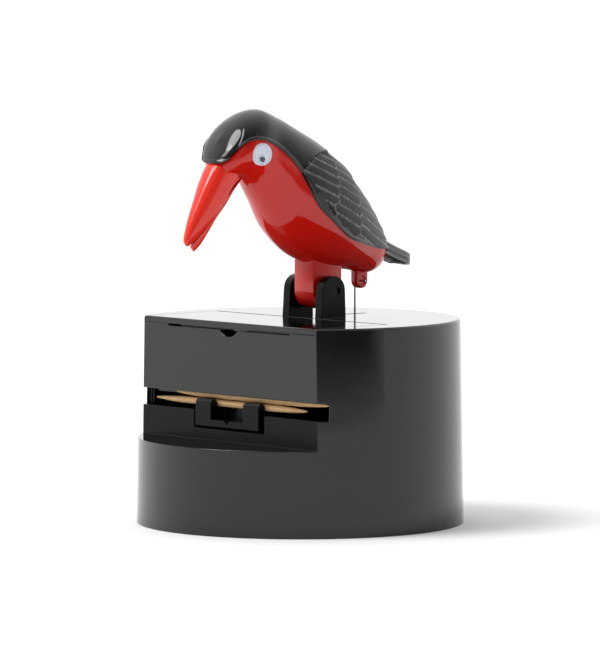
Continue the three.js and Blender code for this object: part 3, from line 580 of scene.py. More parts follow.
@dataclass(frozen=True)
class ClearStyrene(Finish):
    """Clear polystyrene dome: colourless and polished, so its rim and its highlight are what shows; the rim's
    whiteness is a painted reflection.
    """

    opacity: tuple[float, float] = (0.02, 0.5)  # seen straight on, and at the rim, where the opaque film is a painted reflection

    def build(self) -> Material:
        """Builds the clear plastic as a thin film of gloss, turning opaque towards the rim as a painted
        reflection.
        """
        material, tree, shader, place = self.start()
        edge = add(tree, "ShaderNodeLayerWeight", {"Blend": 0.3})
        # More opaque towards the rim: painted reflection.
        film = remap(tree, edge.outputs["Facing"], (0.0, 1.0), self.opacity)
        tree.links.new(film, shader.inputs["Alpha"])
        tree.links.new(self.ripple(tree, place, 2.0, 0.004), shader.inputs["Normal"])
        return material


@dataclass(frozen=True)
class MattCard(Finish):
    """Printed card or coated paper: an even matt face with a faint tooth."""

    tooth: float = 0.25
    mottle: float = 3.0
    spread: float = 0.05  # of the roughness, up and down

    def build(self) -> Material:
        """Builds the card."""
        material, tree, shader, place = self.start()
        tree.links.new(self.ripple(tree, place, self.tooth, 0.01), shader.inputs["Normal"])
        rough = remap(tree, noise(tree, place, self.mottle), (0.0, 1.0),
                      (self.roughness - self.spread, self.roughness + self.spread))
        tree.links.new(rough, shader.inputs["Roughness"])
        return material


@dataclass
class Palette:
    """Every finish of the dispenser, built once."""

    black: Material = field(
        default_factory=MouldedAbs("polished_black_abs", "#0a0b0d", 0.05, edge=0.4).build)
    # A darker, less reflective copy of the polished black: painted shade on the ears, the front below the
    # slot and the lever.
    shaded_sill: Material = field(
        default_factory=MouldedAbs("shaded_dull_black_abs", "#08090a", 0.22, ior=1.22, edge=0.4).build)
    inner: Material = field(
        default_factory=MouldedAbs("satin_black_abs", "#17181a", 0.3, flow_depth=0.01).build)
    plumage: Material = field(default_factory=PlumageAbs("plumage_black_abs", "#1a1b1d", 0.34).build)
    red: Material = field(default_factory=MouldedAbs(
        "polished_red_abs", "#c8180e", 0.06, dust="#d0695f", dust_share=0.12, flow_depth=0.03).build)
    beak: Material = field(default_factory=MouldedAbs(
        "polished_scarlet_styrene", "#e72d1c", 0.12, dust="#f0705a", dust_share=0.1, scatter=0.12).build)
    birch: Material = field(default_factory=Birch("turned_birch", "#e3c08e", 0.62).build)
    steel: Material = field(default_factory=DrawnSteel("drawn_steel", "#a7a9ab", 0.26).build)
    blackened: Material = field(default_factory=DrawnSteel("blackened_steel", "#26272a", 0.34).build)
    card: Material = field(default_factory=MattCard("white_card", "#e9edf8", 0.5).build)
    clear: Material = field(default_factory=ClearStyrene("clear_styrene", "#e9efff", 0.03).build)
    pupil: Material = field(default_factory=MouldedAbs("jet_styrene", "#050506", 0.2).build)
    paper: Material = field(
        default_factory=MattCard("matt_white_paper", "#f4f4f4", 0.9, tooth=1.5).build)


# ---- sub-assemblies


@dataclass
class Housing:
    """The base: the drum, its lid, the lever under it and what is inside."""

    palette: Palette
    edge: float = 0.35
    lid_edge: float = 0.3
    lever_edge: float = 0.3
    tray_edge: float = 0.25
    cover_edge: float = 0.3
    flat: float = 27.0  # from the axis to the flat front
    slot_bottom: float = 32.7
    deck: float = 58.3
    near: float = 0.3  # how close to the front or the deck still counts as on it

    def on_front(self, face: bpy.types.MeshPolygon) -> bool:
        """Whether a face lies in the flat front."""
        return face.normal.y < -0.9 and abs(face.center.y + self.flat * MM) < self.near * MM

    def paint_sill_shade(self, drum: Thing) -> None:
        """Gives the ears and the front below the slot a darker, less reflective copy of the black ABS, as
        painted shade.
        """
        for edge in drum.data.edges:
            edge.select = False
        select_only(drum)
        bpy.context.tool_settings.mesh_select_mode = (False, False, True)
        for face in drum.data.polygons:
            face.select = self.on_front(face)
        bpy.ops.object.mode_set(mode="EDIT")
        bpy.ops.mesh.bisect(plane_co=(0, 0, self.slot_bottom * MM), plane_no=(0, 0, 1))
        bpy.ops.object.mode_set(mode="OBJECT")
        # The darker copy is painted shade on the ears and the front below the slot.
        drum.data.materials.append(self.palette.shaded_sill)
        for face in drum.data.polygons:
            shaded_sill = self.on_front(face) and face.center.z < self.slot_bottom * MM
            if shaded_sill or face.center.z > (self.deck + self.near) * MM:
                face.material_index = 1

    def build(self) -> None:
        """Rounds the mouldings and finishes the steel parts."""
        black, shaded_sill, inner = self.palette.black, self.palette.shaded_sill, self.palette.inner
        for node, name, width, material, body, slot in (
                ("base_housing", "housing_moulding", self.edge, black, "base", "black_abs"),
                ("hopper_lid", "lid_moulding", self.lid_edge, black, "lid", "black_abs"),
                ("feed_lever", "lever_moulding", self.lever_edge, shaded_sill, "lever", "black_abs"),
                ("hopper_tray", "tray_moulding", self.tray_edge, inner, "base", "inner_abs"),
                ("bottom_cover", "cover_moulding", self.cover_edge, inner, "base", "inner_abs")):
            piece = rounded_copy(node, name, width)
            dress(piece, material, body, slot, node)
            if node == "base_housing":
                self.paint_sill_shade(piece)
        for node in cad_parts:
            if "screw" in node or node in ("lever_axle", "pivot_pin", "jaw_pin"):
                finish_node(node, self.palette.blackened if node == "pivot_pin" else self.palette.steel)


@dataclass
class BirdForm:
    """The bird's smooth body in its own axes: s along it from the crown and n across it, upwards."""

    tilt: float = math.radians(33)
    crown: tuple[float, float] = (-28.3, 111.1)
    flatness: float = 0.86
    stations: tuple = (
        (0, -1.8, 0), (1, -2.4, 6.9), (3, -1.2, 9.9), (6, 0.8, 11), (12, 2.9, 10.5), (20, 2.2, 12.2),
        (30, 0.5, 14.8), (40, -0.5, 15.1), (50, -0.4, 12.9), (60, 0.3, 8.8), (67, 0.1, 5.4), (71.3, 0, 0))
    split: tuple = (
        (-4, -9.3), (0.9, -9), (1.4, -4.5), (2.7, -0.5), (5.6, 1.9), (10.9, 3.4), (16, 3.1), (20.7, 1.7),
        (25, -0.6), (30, -3.3), (35, -4.5), (46, -4.9), (53, -3.1), (60, -0.6), (67, 2.5), (75, 5))

    def __post_init__(self) -> None:
        """Draws the curves that the surface is read from."""
        self.curve = spline(list(self.stations), 24, True)
        self.border = spline(list(self.split), 24, False)

    def centre(self, s: np.ndarray) -> np.ndarray:
        """The height of a section's centre."""
        return lookup(self.curve[:, [0, 1]], s)

    def half(self, s: np.ndarray) -> np.ndarray:
        """Half the height of a section."""
        return np.maximum(lookup(self.curve[:, [0, 2]], s), 0)

    def rows(self, count: int, end: float) -> np.ndarray:
        """Places along the body at even steps over its outline."""
        along = np.maximum.accumulate(self.curve[:, 0])
        run = np.hypot(np.diff(self.curve[:, 0]), np.diff(self.curve[:, 2]))
        length = np.concatenate([[0], np.cumsum(run)])
        stop = np.interp(end, along, length)
        return np.interp(np.linspace(0, stop, count), length, along)

    def border_angle(self, s: np.ndarray) -> np.ndarray:
        """How far round from the top the dark back reaches, up to half a turn."""
        share = (lookup(self.border, s) - self.centre(s)) / np.maximum(self.half(s), 1e-6)
        return np.arccos(np.clip(share, -1, 1))

    def world(self, x: np.ndarray, s: np.ndarray, n: np.ndarray) -> np.ndarray:
        """Turns body places into the row frame."""
        y = self.crown[0] + s * math.cos(self.tilt) + n * math.sin(self.tilt)
        z = self.crown[1] - s * math.sin(self.tilt) + n * math.cos(self.tilt)
        return np.stack([x, y, z], axis=-1)

    def surface(self, s: np.ndarray, a: np.ndarray) -> np.ndarray:
        """The surface at places s along it and a round from its top."""
        half = self.half(s)
        return self.world(self.flatness * half * np.sin(a), s, self.centre(s) + half * np.cos(a))

    def outward(self, s: np.ndarray, a: np.ndarray) -> np.ndarray:
        """Unit normals of the surface at places s and a."""
        step, swing = 0.05, 0.01
        along = self.surface(s + step, a) - self.surface(np.maximum(s - step, 0), a)
        around = self.surface(s, a + swing) - self.surface(s, a - swing)
        normal = np.cross(around, along)
        size = np.linalg.norm(normal, axis=-1, keepdims=True)
        spoke = self.world(self.flatness * np.sin(a), s, np.cos(a)) - self.world(0 * a, s, 0 * a)
        normal = np.where(size > 1e-7, normal / np.maximum(size, 1e-9), spoke)
        sign = np.sign((normal * spoke).sum(axis=-1, keepdims=True))
        normal = normal * np.where(sign == 0, 1, sign)
        # The crown is one point, and its normal is the body's axis.
        normal[0] = self.world(0.0, -1.0, 0.0) - self.world(0.0, 0.0, 0.0)
        return normal


EYE = (8.5, -22.3, 105.8)  # the left one's middle
EYE_TOE = math.radians(12)  # how far the eyes look ahead
EYE_SEAT = ((0, -0.4), (3.2, -0.4), (3.2, 6), (0, 6))  # what is bored out for an eye


def eye_place(hand: Hand) -> Matrix:
    """An eye's frame in millimetres, with its +Z looking out of the head."""
    outward = Vector((hand.value * math.cos(EYE_TOE), -math.sin(EYE_TOE), 0))
    across = Vector((0, 0, 1)).cross(outward)
    basis = Matrix((across, Vector((0, 0, 1)), outward)).transposed().to_4x4()
    return Matrix.Translation((hand.value * EYE[0], EYE[1], EYE[2])) @ basis


def bore_eyes(piece: Thing) -> None:
    """Bores a seat for each eye."""
    for hand in (Hand.RIGHT, Hand.LEFT):
        cut_away(piece, lathe("eye_hole", list(EYE_SEAT), FINE, eye_place(hand)))


@dataclass
class Body:
    """The red body with its foot and its lug."""

    palette: Palette
    form: BirdForm
    wall: float = 1.2
    tuck: float = 0.5  # under the dark back
    pivot: tuple[float, float] = (6.8, 66.1)
    foot_radius: float = 5.5
    foot_half: float = 4.1
    lug: tuple[float, float] = (22.6, 68.0)
    lug_radius: float = 2.2
    lug_span: tuple[float, float] = (-1.1, 1.45)
    lug_recess: float = 0.35
    foot_top: float = 9.0  # above the pivot, where the belly hides it
    lug_top: float = 6.0
    recess_share: float = 0.62  # of a tab's radius
    rows: int = 180
    columns: int = 111

    def shell(self) -> Thing:
        """The red skin from one side of the dark back under the belly to the other."""
        s = self.form.rows(self.rows, self.form.stations[-1][0])[:, None]
        border = self.form.border_angle(s)
        tucked = np.maximum(border - self.tuck / np.maximum(self.form.half(s), 1.5), 0)
        share = np.linspace(0, 1, self.columns)[None, :]
        a = tucked + (2 * math.pi - 2 * tucked) * share
        piece = skin("red_body", self.form.surface(np.broadcast_to(s, a.shape), a))
        merge(piece)
        face_out(piece)
        apply_modifier(piece, "SOLIDIFY", thickness=self.wall * MM, offset=-1)
        return piece

    def block(self, name: str, at: tuple[float, float], radius: float, top: float,
              span: tuple[float, float], recess: float) -> Thing:
        """A tab with a round lower end, buried in the belly, with a sunk disc in each side where asked.

        Args:
            name: The piece's name.
            at: Its pin's (y, z).
            radius: Of the round end.
            top: How far it reaches above the pin.
            span: Where it starts and ends along X.
            recess: The depth of the sunk discs, or none.

        Returns:
            The closed piece.
        """
        arc = np.linspace(math.pi, 2 * math.pi, 25)
        outline = [(at[0] + radius * math.cos(t), at[1] + radius * math.sin(t)) for t in arc]
        outline += [(at[0] + radius, at[1] + top), (at[0] - radius, at[1] + top)]
        piece = plate(name, outline, *span, 0.35)
        if recess:
            sunk = radius * self.recess_share
            profile = [(0.0, -0.1), (sunk, -0.1), (sunk, recess), (0.0, recess)]
            for x, sign in ((span[0], 1), (span[1], -1)):
                turn = Matrix.Rotation(sign * math.pi / 2, 4, "Y")
                place = Matrix.Translation((x - sign * 0.01, *at)) @ turn
                cut_away(piece, lathe("recess", profile, 24, place))
        return piece

    def build(self) -> None:
        """Builds the red body and dresses it."""
        piece = self.shell()
        bore_eyes(piece)
        sides = (-self.foot_half, self.foot_half)
        foot = self.block("foot", self.pivot, self.foot_radius, self.foot_top, sides, 0)
        lug = self.block("lug", self.lug, self.lug_radius, self.lug_top, self.lug_span, self.lug_recess)
        gather(piece, foot, lug)
        smooth(piece, 40)
        dress(piece, self.palette.red, "bird", "red_abs", "body_shell")


@dataclass
class Back:
    """The dark hood and wings, laid over the red body, with the tail."""

    palette: Palette
    form: BirdForm
    lift: float = 0.35
    wall: float = 0.3
    hood_drop: float = 0.85
    tier_rise: float = 0.7
    feather_rise: float = 0.4
    tip: float = 1.1  # how far a feather tip reaches past its notches
    brow: float = 0.9  # extra lift of the hood over the root of the beak
    brow_end: float = 8.0
    band_drop: float = 0.35
    bead: float = 0.28  # height of the rolled rim along the border and the wing's front
    bead_in: float = 0.55
    bead_width: float = 0.4
    feather: float = 2.5  # from one feather to the next
    slant: float = 0.12
    # width of the painted highlight along the tier lines and feather edges
    rim_highlight: float = 0.3
    arch: float = 0.93  # of half a section's height, across the wing for each radian round it
    wing_end: float = 63.0
    rows: int = 260
    columns: int = 151
    tail_start: float = 60.0
    tail_length: float = 19.2
    tail_lift: float = 3.2
    tail_root: float = 3.1  # half the tail's width at its start
    tail_flare: float = 1.3
    tail_round: float = 3.3  # length of its round end
    tail_rib: float = 0.22
    tail_wall: float = 1.0
    tail_steps: int = 61
    hood_line: tuple = ((2.7, 21.7), (4.9, 22.7), (7.6, 23.8), (10.3, 25.9), (13.2, 29.8), (15, 32.5))
    first_line: tuple = ((-2.8, 38.7), (-1.7, 36.5), (1.7, 36.5), (4.1, 35.4), (7.3, 34.2), (9.8, 32.6),
                         (11.8, 31.4), (12.4, 29.2))
    second_line: tuple = ((-2.4, 50.1), (-0.4, 49.6), (2.1, 48.1), (4.7, 45.9), (6.8, 44.3), (8.8, 43.2),
                          (10.6, 42.1), (13, 40.5))
    feather_foot: tuple = ((21.7, 2.7), (28.7, 0.2), (32.6, -1.3), (37.1, -2.7), (42.6, -3.7), (50.1, -2.8),
                           (60, -0.3), (70, 3))

    def relief(self, s: np.ndarray, a: np.ndarray) -> tuple[np.ndarray, np.ndarray, np.ndarray, np.ndarray]:
        """The plumage at places s and a.

        Returns:
            Its height, its painted rim highlights, its gloss and how far each place is across the feathers.
        """
        half = self.form.half(s)
        centre = self.form.centre(s)
        n = centre + half * np.cos(a)
        across = centre + self.arch * half * (math.pi / 2 - np.abs(a))
        hood = np.interp(n, *zip(*self.hood_line))
        first = np.maximum(np.interp(n, *zip(*self.first_line)), hood)
        second = np.interp(n, *zip(*self.second_line))
        foot = np.interp(s, *zip(*self.feather_foot))
        for shift, line in ((0.0, first), (0.5, second)):
            part = (across - self.slant * s) / self.feather + shift
            scallop = np.sin(math.pi * (part - np.floor(part))) - 0.6
            line += self.tip * scallop * (line > hood + 0.8)
        tier = np.where(s < first, 0, np.where(s < second, 1, 2))
        begin = np.choose(tier, [hood, first, second])
        end = np.choose(tier, [first, second, np.full_like(s, self.wing_end)])
        along = np.clip((s - begin) / np.maximum(end - begin, 0.5), 0, 1)
        phase = (across - self.slant * s) / self.feather + 0.5 * tier
        share = phase - np.floor(phase)
        height = -self.hood_drop + self.tier_rise * along + self.feather_rise * share
        border = lookup(self.form.border, s)
        band = -self.band_drop * np.clip((n - border) / 1.2, 0, 1)
        wing = (s > hood) & (n > foot)
        under = (s > hood) & ~wing
        brow = self.brow * np.clip(1 - s / self.brow_end, 0, 1) ** 1.5
        height = np.where(wing, height, np.where(under, band, brow))
        height = height + self.bead * np.exp(-((n - border - self.bead_in) / self.bead_width) ** 2)
        lip = np.exp(-((s - hood - self.bead_in) / self.bead_width) ** 2) * (n > foot)
        height = height + self.bead * lip
        # A painted highlight along the tier lines and the feathers' edges, on the wing only.
        near = np.minimum(np.abs(s - first), np.abs(s - second))
        quill = (1 - share) * self.feather
        edges = np.maximum(np.exp(-(near / self.rim_highlight) ** 2), np.exp(-(quill / self.rim_highlight) ** 2))
        rim_highlights = np.where(wing, edges, 0.0)
        return height, rim_highlights, np.where(wing, 0.0, 1.0), across

    def shell(self) -> Thing:
        """The dark skin with its plumage relief."""
        reach = np.linspace(60, 71, 400)
        stop = float(reach[np.argmax(self.form.border_angle(reach) < 0.02)])
        s = self.form.rows(self.rows, stop)[:, None]
        a = self.form.border_angle(s) * np.linspace(-1, 1, self.columns)[None, :]
        s = np.broadcast_to(s, a.shape).copy()
        height, rim_highlights, gloss, across = self.relief(s, a)
        points = self.form.surface(s, a) + self.form.outward(s, a) * (self.lift + height)[..., None]
        piece = skin("dark_back", points, {"rim_highlight": rim_highlights, "gloss": gloss}, (s, across))
        merge(piece)
        face_out(piece)
        apply_modifier(piece, "SOLIDIFY", thickness=self.wall * MM, offset=-1)
        return piece

    def tail(self) -> Thing:
        """The arched, ribbed tail with its round end."""
        share = np.linspace(0, 1, self.tail_steps)[:, None]
        v = np.linspace(-1, 1, self.tail_steps)[None, :]
        end = self.tail_start + self.tail_length
        s = self.tail_start + self.tail_length * share
        closing = np.clip((s - end + self.tail_round) / self.tail_round, 0, 1)
        half = self.tail_root + self.tail_flare * share
        half = half * np.sqrt(np.maximum(1 - closing ** 2.2, 0.0009))
        ribs = self.tail_rib * np.abs(np.cos(2.5 * math.pi * v)) * np.clip((end - s) / 3, 0, 1)
        arched = 1.5 + 4.9 * (1 - v ** 2) * (1 - 0.2 * share)
        crown = arched - self.tail_rib + ribs + self.tail_lift * share ** 2
        points = self.form.world(half * v, s + 0 * v, crown + 0 * s)
        # A painted highlight along the tail's side edges.
        rim_highlights = np.exp(-(((np.abs(v) - 0.94) / 0.05) ** 2)) * np.ones_like(s)
        gloss = np.full(points.shape[:2], 0.55)
        piece = skin("tail", points, {"rim_highlight": rim_highlights * 0.6, "gloss": gloss}, (s + 0 * v, half * v))
        merge(piece)
        apply_modifier(piece, "SOLIDIFY", thickness=self.tail_wall * MM, offset=-1)
        return piece

    def build(self) -> None:
        """Builds the dark back and dresses it."""
        piece = self.shell()
        bore_eyes(piece)
        gather(piece, self.tail())
        smooth(piece, 28)
        dress(piece, self.palette.plumage, "bird", "back_abs", "back_shell")


@dataclass
class Beak:
    """The two halves of the beak, from the bird's pivot: ridge and mouth edge (y, z) and half-width."""

    palette: Palette
    pivot: tuple[float, float] = (6.8, 66.1)
    wall: float = 1.1
    band: float = 1.35  # height of the facet along a mouth edge
    jaw: tuple[float, float] = (-28.4, 35.4)
    side_curve: float = 0.72  # the roof's, under one for fuller sides
    top_curve: float = 0.68
    keel_curve: float = 0.85  # the lower half's
    inset: float = 0.9  # of the half-width, at the mouth edges
    upper: tuple = (
        (-36.8, 38.6, -31.8, 37.4, 3.2), (-40.1, 36.9, -32.7, 34.9, 4.3), (-43.1, 32.4, -35.6, 30.4, 4.1),
        (-46, 26.4, -39.1, 24.5, 3.2), (-48, 22.1, -41.6, 21.3, 2.5), (-49.6, 17.7, -45.4, 17.6, 1.6),
        (-50.1, 15.5, -47.4, 15.6, 1), (-49.4, 14.2, -48.6, 14.4, 0.5))
    lower: tuple = (
        (-31.9, 31.6, -30, 33.1, 2.1), (-35.2, 25.8, -36.6, 27.1, 2.1), (-38.7, 22, -40.7, 22, 1.9),
        (-41.7, 17.8, -43.4, 18.8, 1.4), (-44.6, 14.2, -46, 16.2, 0.9), (-46.7, 12.6, -47.7, 14, 0.4))

    def lofted(self, name: str, rows: tuple,
               section: Callable[[float, float], list[tuple[float, float]]]) -> Thing:
        """Lofts a section along a half, with a cap at each end.
        Args:
            name: The piece's name.
            rows: The stations.
            section: Gives the closed section's points (across, up) for a half-width and a depth.

        Returns:
            The closed piece.
        """
        rings = []
        for ridge_y, ridge_z, edge_y, edge_z, half in spline(list(rows), 8, True):
            out = np.array([ridge_y - edge_y, ridge_z - edge_z])
            depth = float(np.linalg.norm(out))
            out /= depth
            loop = np.array(section(max(half, 0.2), depth))
            y = self.pivot[0] + edge_y + out[0] * loop[:, 1]
            z = self.pivot[1] + edge_z + out[1] * loop[:, 1]
            rings.append(np.stack([loop[:, 0], y, z], axis=-1))
        ends = [np.broadcast_to(ring.mean(axis=0), ring.shape) for ring in (rings[0], rings[-1])]
        piece = skin(name, np.array([ends[0], *rings, ends[1]]))
        merge(piece, recalculate=True)
        return piece

    def upper_section(self, half: float, depth: float) -> list[tuple[float, float]]:
        """A rounded roof over a facet along each mouth edge, hollow below."""
        band = min(self.band, 0.42 * depth)
        turn = np.linspace(0, math.pi, 33)
        roof = [(-half * np.sign(math.cos(t)) * abs(math.cos(t)) ** self.side_curve,
                 band + (depth - band) * math.sin(t) ** self.top_curve) for t in turn]
        outer = [(-half * self.inset, 0.0), *roof, (half * self.inset, 0.0)]
        wall = min(self.wall, 0.45 * half, 0.45 * depth)
        inside = [(x * (half - wall) / half, max(u - wall, 0.0)) for x, u in reversed(outer)]
        inside[0] = ((half - wall) * self.inset, 0.0)
        inside[-1] = (-(half - wall) * self.inset, 0.0)
        return [*outer, *inside, outer[0]]

    def lower_section(self, half: float, depth: float) -> list[tuple[float, float]]:
        """A solid, round-bottomed section with a flat mouth face."""
        turn = np.linspace(0, math.pi, 25)
        arc = [(-half * math.cos(t), depth * math.sin(t) ** self.keel_curve) for t in turn]
        return [*arc, (0.0, 0.0), arc[0]]

    def from_pivot(self, outline: list[tuple[float, float]]) -> list[tuple[float, float]]:
        """Moves an outline from the pivot's frame to the row frame."""
        return [(self.pivot[0] + y, self.pivot[1] + z) for y, z in outline]

    def build(self) -> None:
        """Builds both halves and dresses them."""
        y, z = self.jaw
        upper = self.lofted("beak_upper", self.upper, self.upper_section)
        cheek = [(-36.5, 36.5), (-31.5, 33.6), (y + 0.4, z - 1.6), (y + 1.6, z), (y + 0.6, z + 1.6),
                 (-31.5, 37.8), (-36, 37.8)]
        cheeks = [plate("cheek", self.from_pivot(cheek), *span, 0.2) for span in ((-3.6, -2.5), (2.5, 3.6))]
        gather(upper, *cheeks)
        smooth(upper, 32)
        dress(upper, self.palette.beak, "bird", "beak_plastic", "upper_beak")
        lower = self.lofted("beak_lower", self.lower, self.lower_section)
        tongue = [(-35.5, 28.5), (-31.9, 32), (y + 0.6, z - 1.3), (y - 0.9, z + 1.2), (-34.5, 31.5)]
        root = plate("tongue", self.from_pivot(tongue), -1.8, 1.8, 0.25)
        boss_place = Matrix.Translation((-2.1, self.pivot[0] + y, self.pivot[1] + z)) @ ALONG_X
        boss = lathe("boss", [(0, 0), (1.3, 0), (1.5, 0.2), (1.5, 4.0), (1.3, 4.2), (0, 4.2)], 28, boss_place)
        gather(lower, root, boss)
        smooth(lower, 32)
        dress(lower, self.palette.beak, "lower_jaw", "beak_plastic", "lower_beak")


@dataclass
class Eyes:
    """Two rolling eyes: a white card, a clear dome over it and a loose pupil."""

    palette: Palette
    radius: float = 3.0
    card: float = 0.5
    dome: float = 1.5
    pupil_radius: float = 0.8
    pupil_drop: float = 1.45

    def build(self) -> None:
        """Builds both eyes and dresses them."""
        r, p = self.radius, self.pupil_radius
        low = self.card + 0.15
        cup = [(0, -0.3), (r + 0.1, -0.3), (r + 0.15, self.card + 0.25), (r - 0.05, self.card + 0.3),
               (r - 0.2, self.card), (0, self.card)]
        turn = np.linspace(0, math.pi / 2, 13)
        outer = [(r * math.sin(t), low + self.dome * math.cos(t)) for t in turn]
        inner = [((r - 0.3) * math.sin(t), low + (self.dome - 0.3) * math.cos(t)) for t in turn]
        bead = [(0, 0), (p - 0.12, 0), (p, 0.12), (p, 0.3), (p - 0.1, 0.4), (0, 0.42)]
        for hand in Hand:
            side = hand.name.lower()
            place = eye_place(hand)
            card = lathe(f"eye_card_{side}", cup, FINE, place)
            smooth(card)
            dress(card, self.palette.card, "bird", "eye_white", f"eye_back_{side}")
            dome = lathe(f"eye_dome_{side}", [*outer, *inner[::-1]], FINE, place)
            smooth(dome)
            dress(dome, self.palette.clear, "bird", "eye_clear", f"eye_window_{side}")
            shift = place @ Matrix.Translation((0, -self.pupil_drop, self.card + 0.3))
            pupil = lathe(f"pupil_disc_{side}", bead, 32, shift)
            smooth(pupil)
            dress(pupil, self.palette.pupil, f"{side}_pupil", "pupil_black", f"pupil_{side}")


@dataclass
class Linkage:
    """The steel wire from the bird's lug to the lever, and the lever's return spring."""

    palette: Palette
    x: float = -1.75
    y: float = 22.6
    radius: float = 0.3
    bend: float = 0.9
    low: float = 11.0  # the lever's eye
    high: float = 68.0  # the lug's hole
    foot_end: float = 3.6  # where its lower end stops along X
    head_end: float = 2.7  # where its upper end stops along X
    turns: int = 8
    pressed: float = 0.56  # of the spring's length that is left when the bird bows

    def wire(self) -> None:
        """Bends the wire and dresses it."""
        x, y, low, high, bend = self.x, self.y, self.low, self.high, self.bend
        arc = np.linspace(0, math.pi / 2, 9)
        foot = [(x + bend - bend * math.sin(t), y, low + bend - bend * math.cos(t)) for t in arc]
        rise = [(x, y, z) for z in np.linspace(low + bend + 1, high - bend - 1, 24)]
        head = [(x + bend - bend * math.cos(t), y, high - bend + bend * math.sin(t)) for t in arc]
        path = np.array([(self.foot_end, y, low), *foot, *rise, *head, (self.head_end, y, high)])
        piece = tube("bent_wire", path, self.radius)
        smooth(piece, 60)
        dress(piece, self.palette.steel, "wire", "steel", "wire_link")

    def spring(self) -> None:
        """Coils the return spring between the housing's post and the lever."""
        lowest, highest = (np.array(corner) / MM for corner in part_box("return_spring"))
        middle = (lowest + highest) / 2
        coil = (highest[0] - lowest[0]) / 2 - self.radius
        turn = np.linspace(0, 2 * math.pi * self.turns, FINE * self.turns + 1)
        share = np.clip((turn / (2 * math.pi) - 1) / (self.turns - 2), 0, 1)
        closed = 2 * self.radius * 1.05
        ends = np.clip(turn / (2 * math.pi), 0, 1) + np.clip(turn / (2 * math.pi) - self.turns + 1, 0, 1)
        low = lowest[2] + self.radius
        high = highest[2] - self.radius
        z = low + ends * closed + share * (high - low - 2 * closed)
        path = np.stack([middle[0] + coil * np.cos(turn), middle[1] + coil * np.sin(turn), z], axis=-1)
        piece = tube("coil_spring", path, self.radius, 12)
        smooth(piece, 60)
        dress(piece, self.palette.steel, "base", "steel", "return_spring")
        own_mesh(piece)

    def build(self) -> None:
        """Builds the wire and the spring."""
        self.wire()
        self.spring()


@dataclass
class Toothpicks:
    """Ten round picks: one in the fork, one behind it and the stock in the hopper."""

    palette: Palette
    radius: float = 1.0
    length: float = 65.0
    taper: float = 14.0
    tip: float = 0.22
    waver_reach: float = 17.0  # how far the waver runs each way from the middle
    waver: float = 0.006  # of the radius, from uneven turning
    roll: float = 67.0  # degrees from one pick to the next, so that no two show the same grain

    def template(self) -> list[tuple[float, float]]:
        """The pick's profile from one point to the other."""
        half = self.length / 2
        share = np.linspace(0, 1, 15)
        nose = [(self.tip + (self.radius - self.tip) * math.sin(t * math.pi / 2) ** 0.8,
                 -half + self.taper * t) for t in share]
        point = [(0.0, -half), (self.tip * 0.7, -half + 0.03), (self.tip, -half + 0.12)]
        heights = np.linspace(-self.waver_reach, self.waver_reach, 12)
        body = [(self.radius * (1 + self.waver * math.sin(k)), z) for k, z in enumerate(heights)]
        one = point + nose[1:]
        return one + body + [(r, -z) for r, z in reversed(one)]

    def build(self) -> None:
        """Makes the picks where the CAD picks lie."""
        nodes = sorted(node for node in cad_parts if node.startswith("toothpick"))
        for k, node in enumerate(nodes):
            lowest, highest = (np.array(corner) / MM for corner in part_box(node))
            middle = Matrix.Translation(Vector((lowest + highest) / 2))
            roll = Matrix.Rotation(math.radians(self.roll * k), 4, "X")
            place = middle @ roll @ ALONG_X
            piece = lathe(node.replace("toothpick", "pick"), self.template(), 28, place)
            smooth(piece, 50)
            body = "lever" if node == "toothpick_front" else "base"
            dress(piece, self.palette.birch, body, "birch", node)


def heading(turn: float, height: float) -> Vector:
    """Points away from the object, by degrees from -Y towards +X and degrees above the floor."""
    az, el = math.radians(turn), math.radians(height)
    return Vector((math.sin(az) * math.cos(el), -math.cos(az) * math.cos(el), math.sin(el)))


def look(item: Thing, way: Vector) -> None:
    """Turns a camera or a lamp to look along a way."""
    item.rotation_euler = way.to_track_quat("-Z", "Y").to_euler()


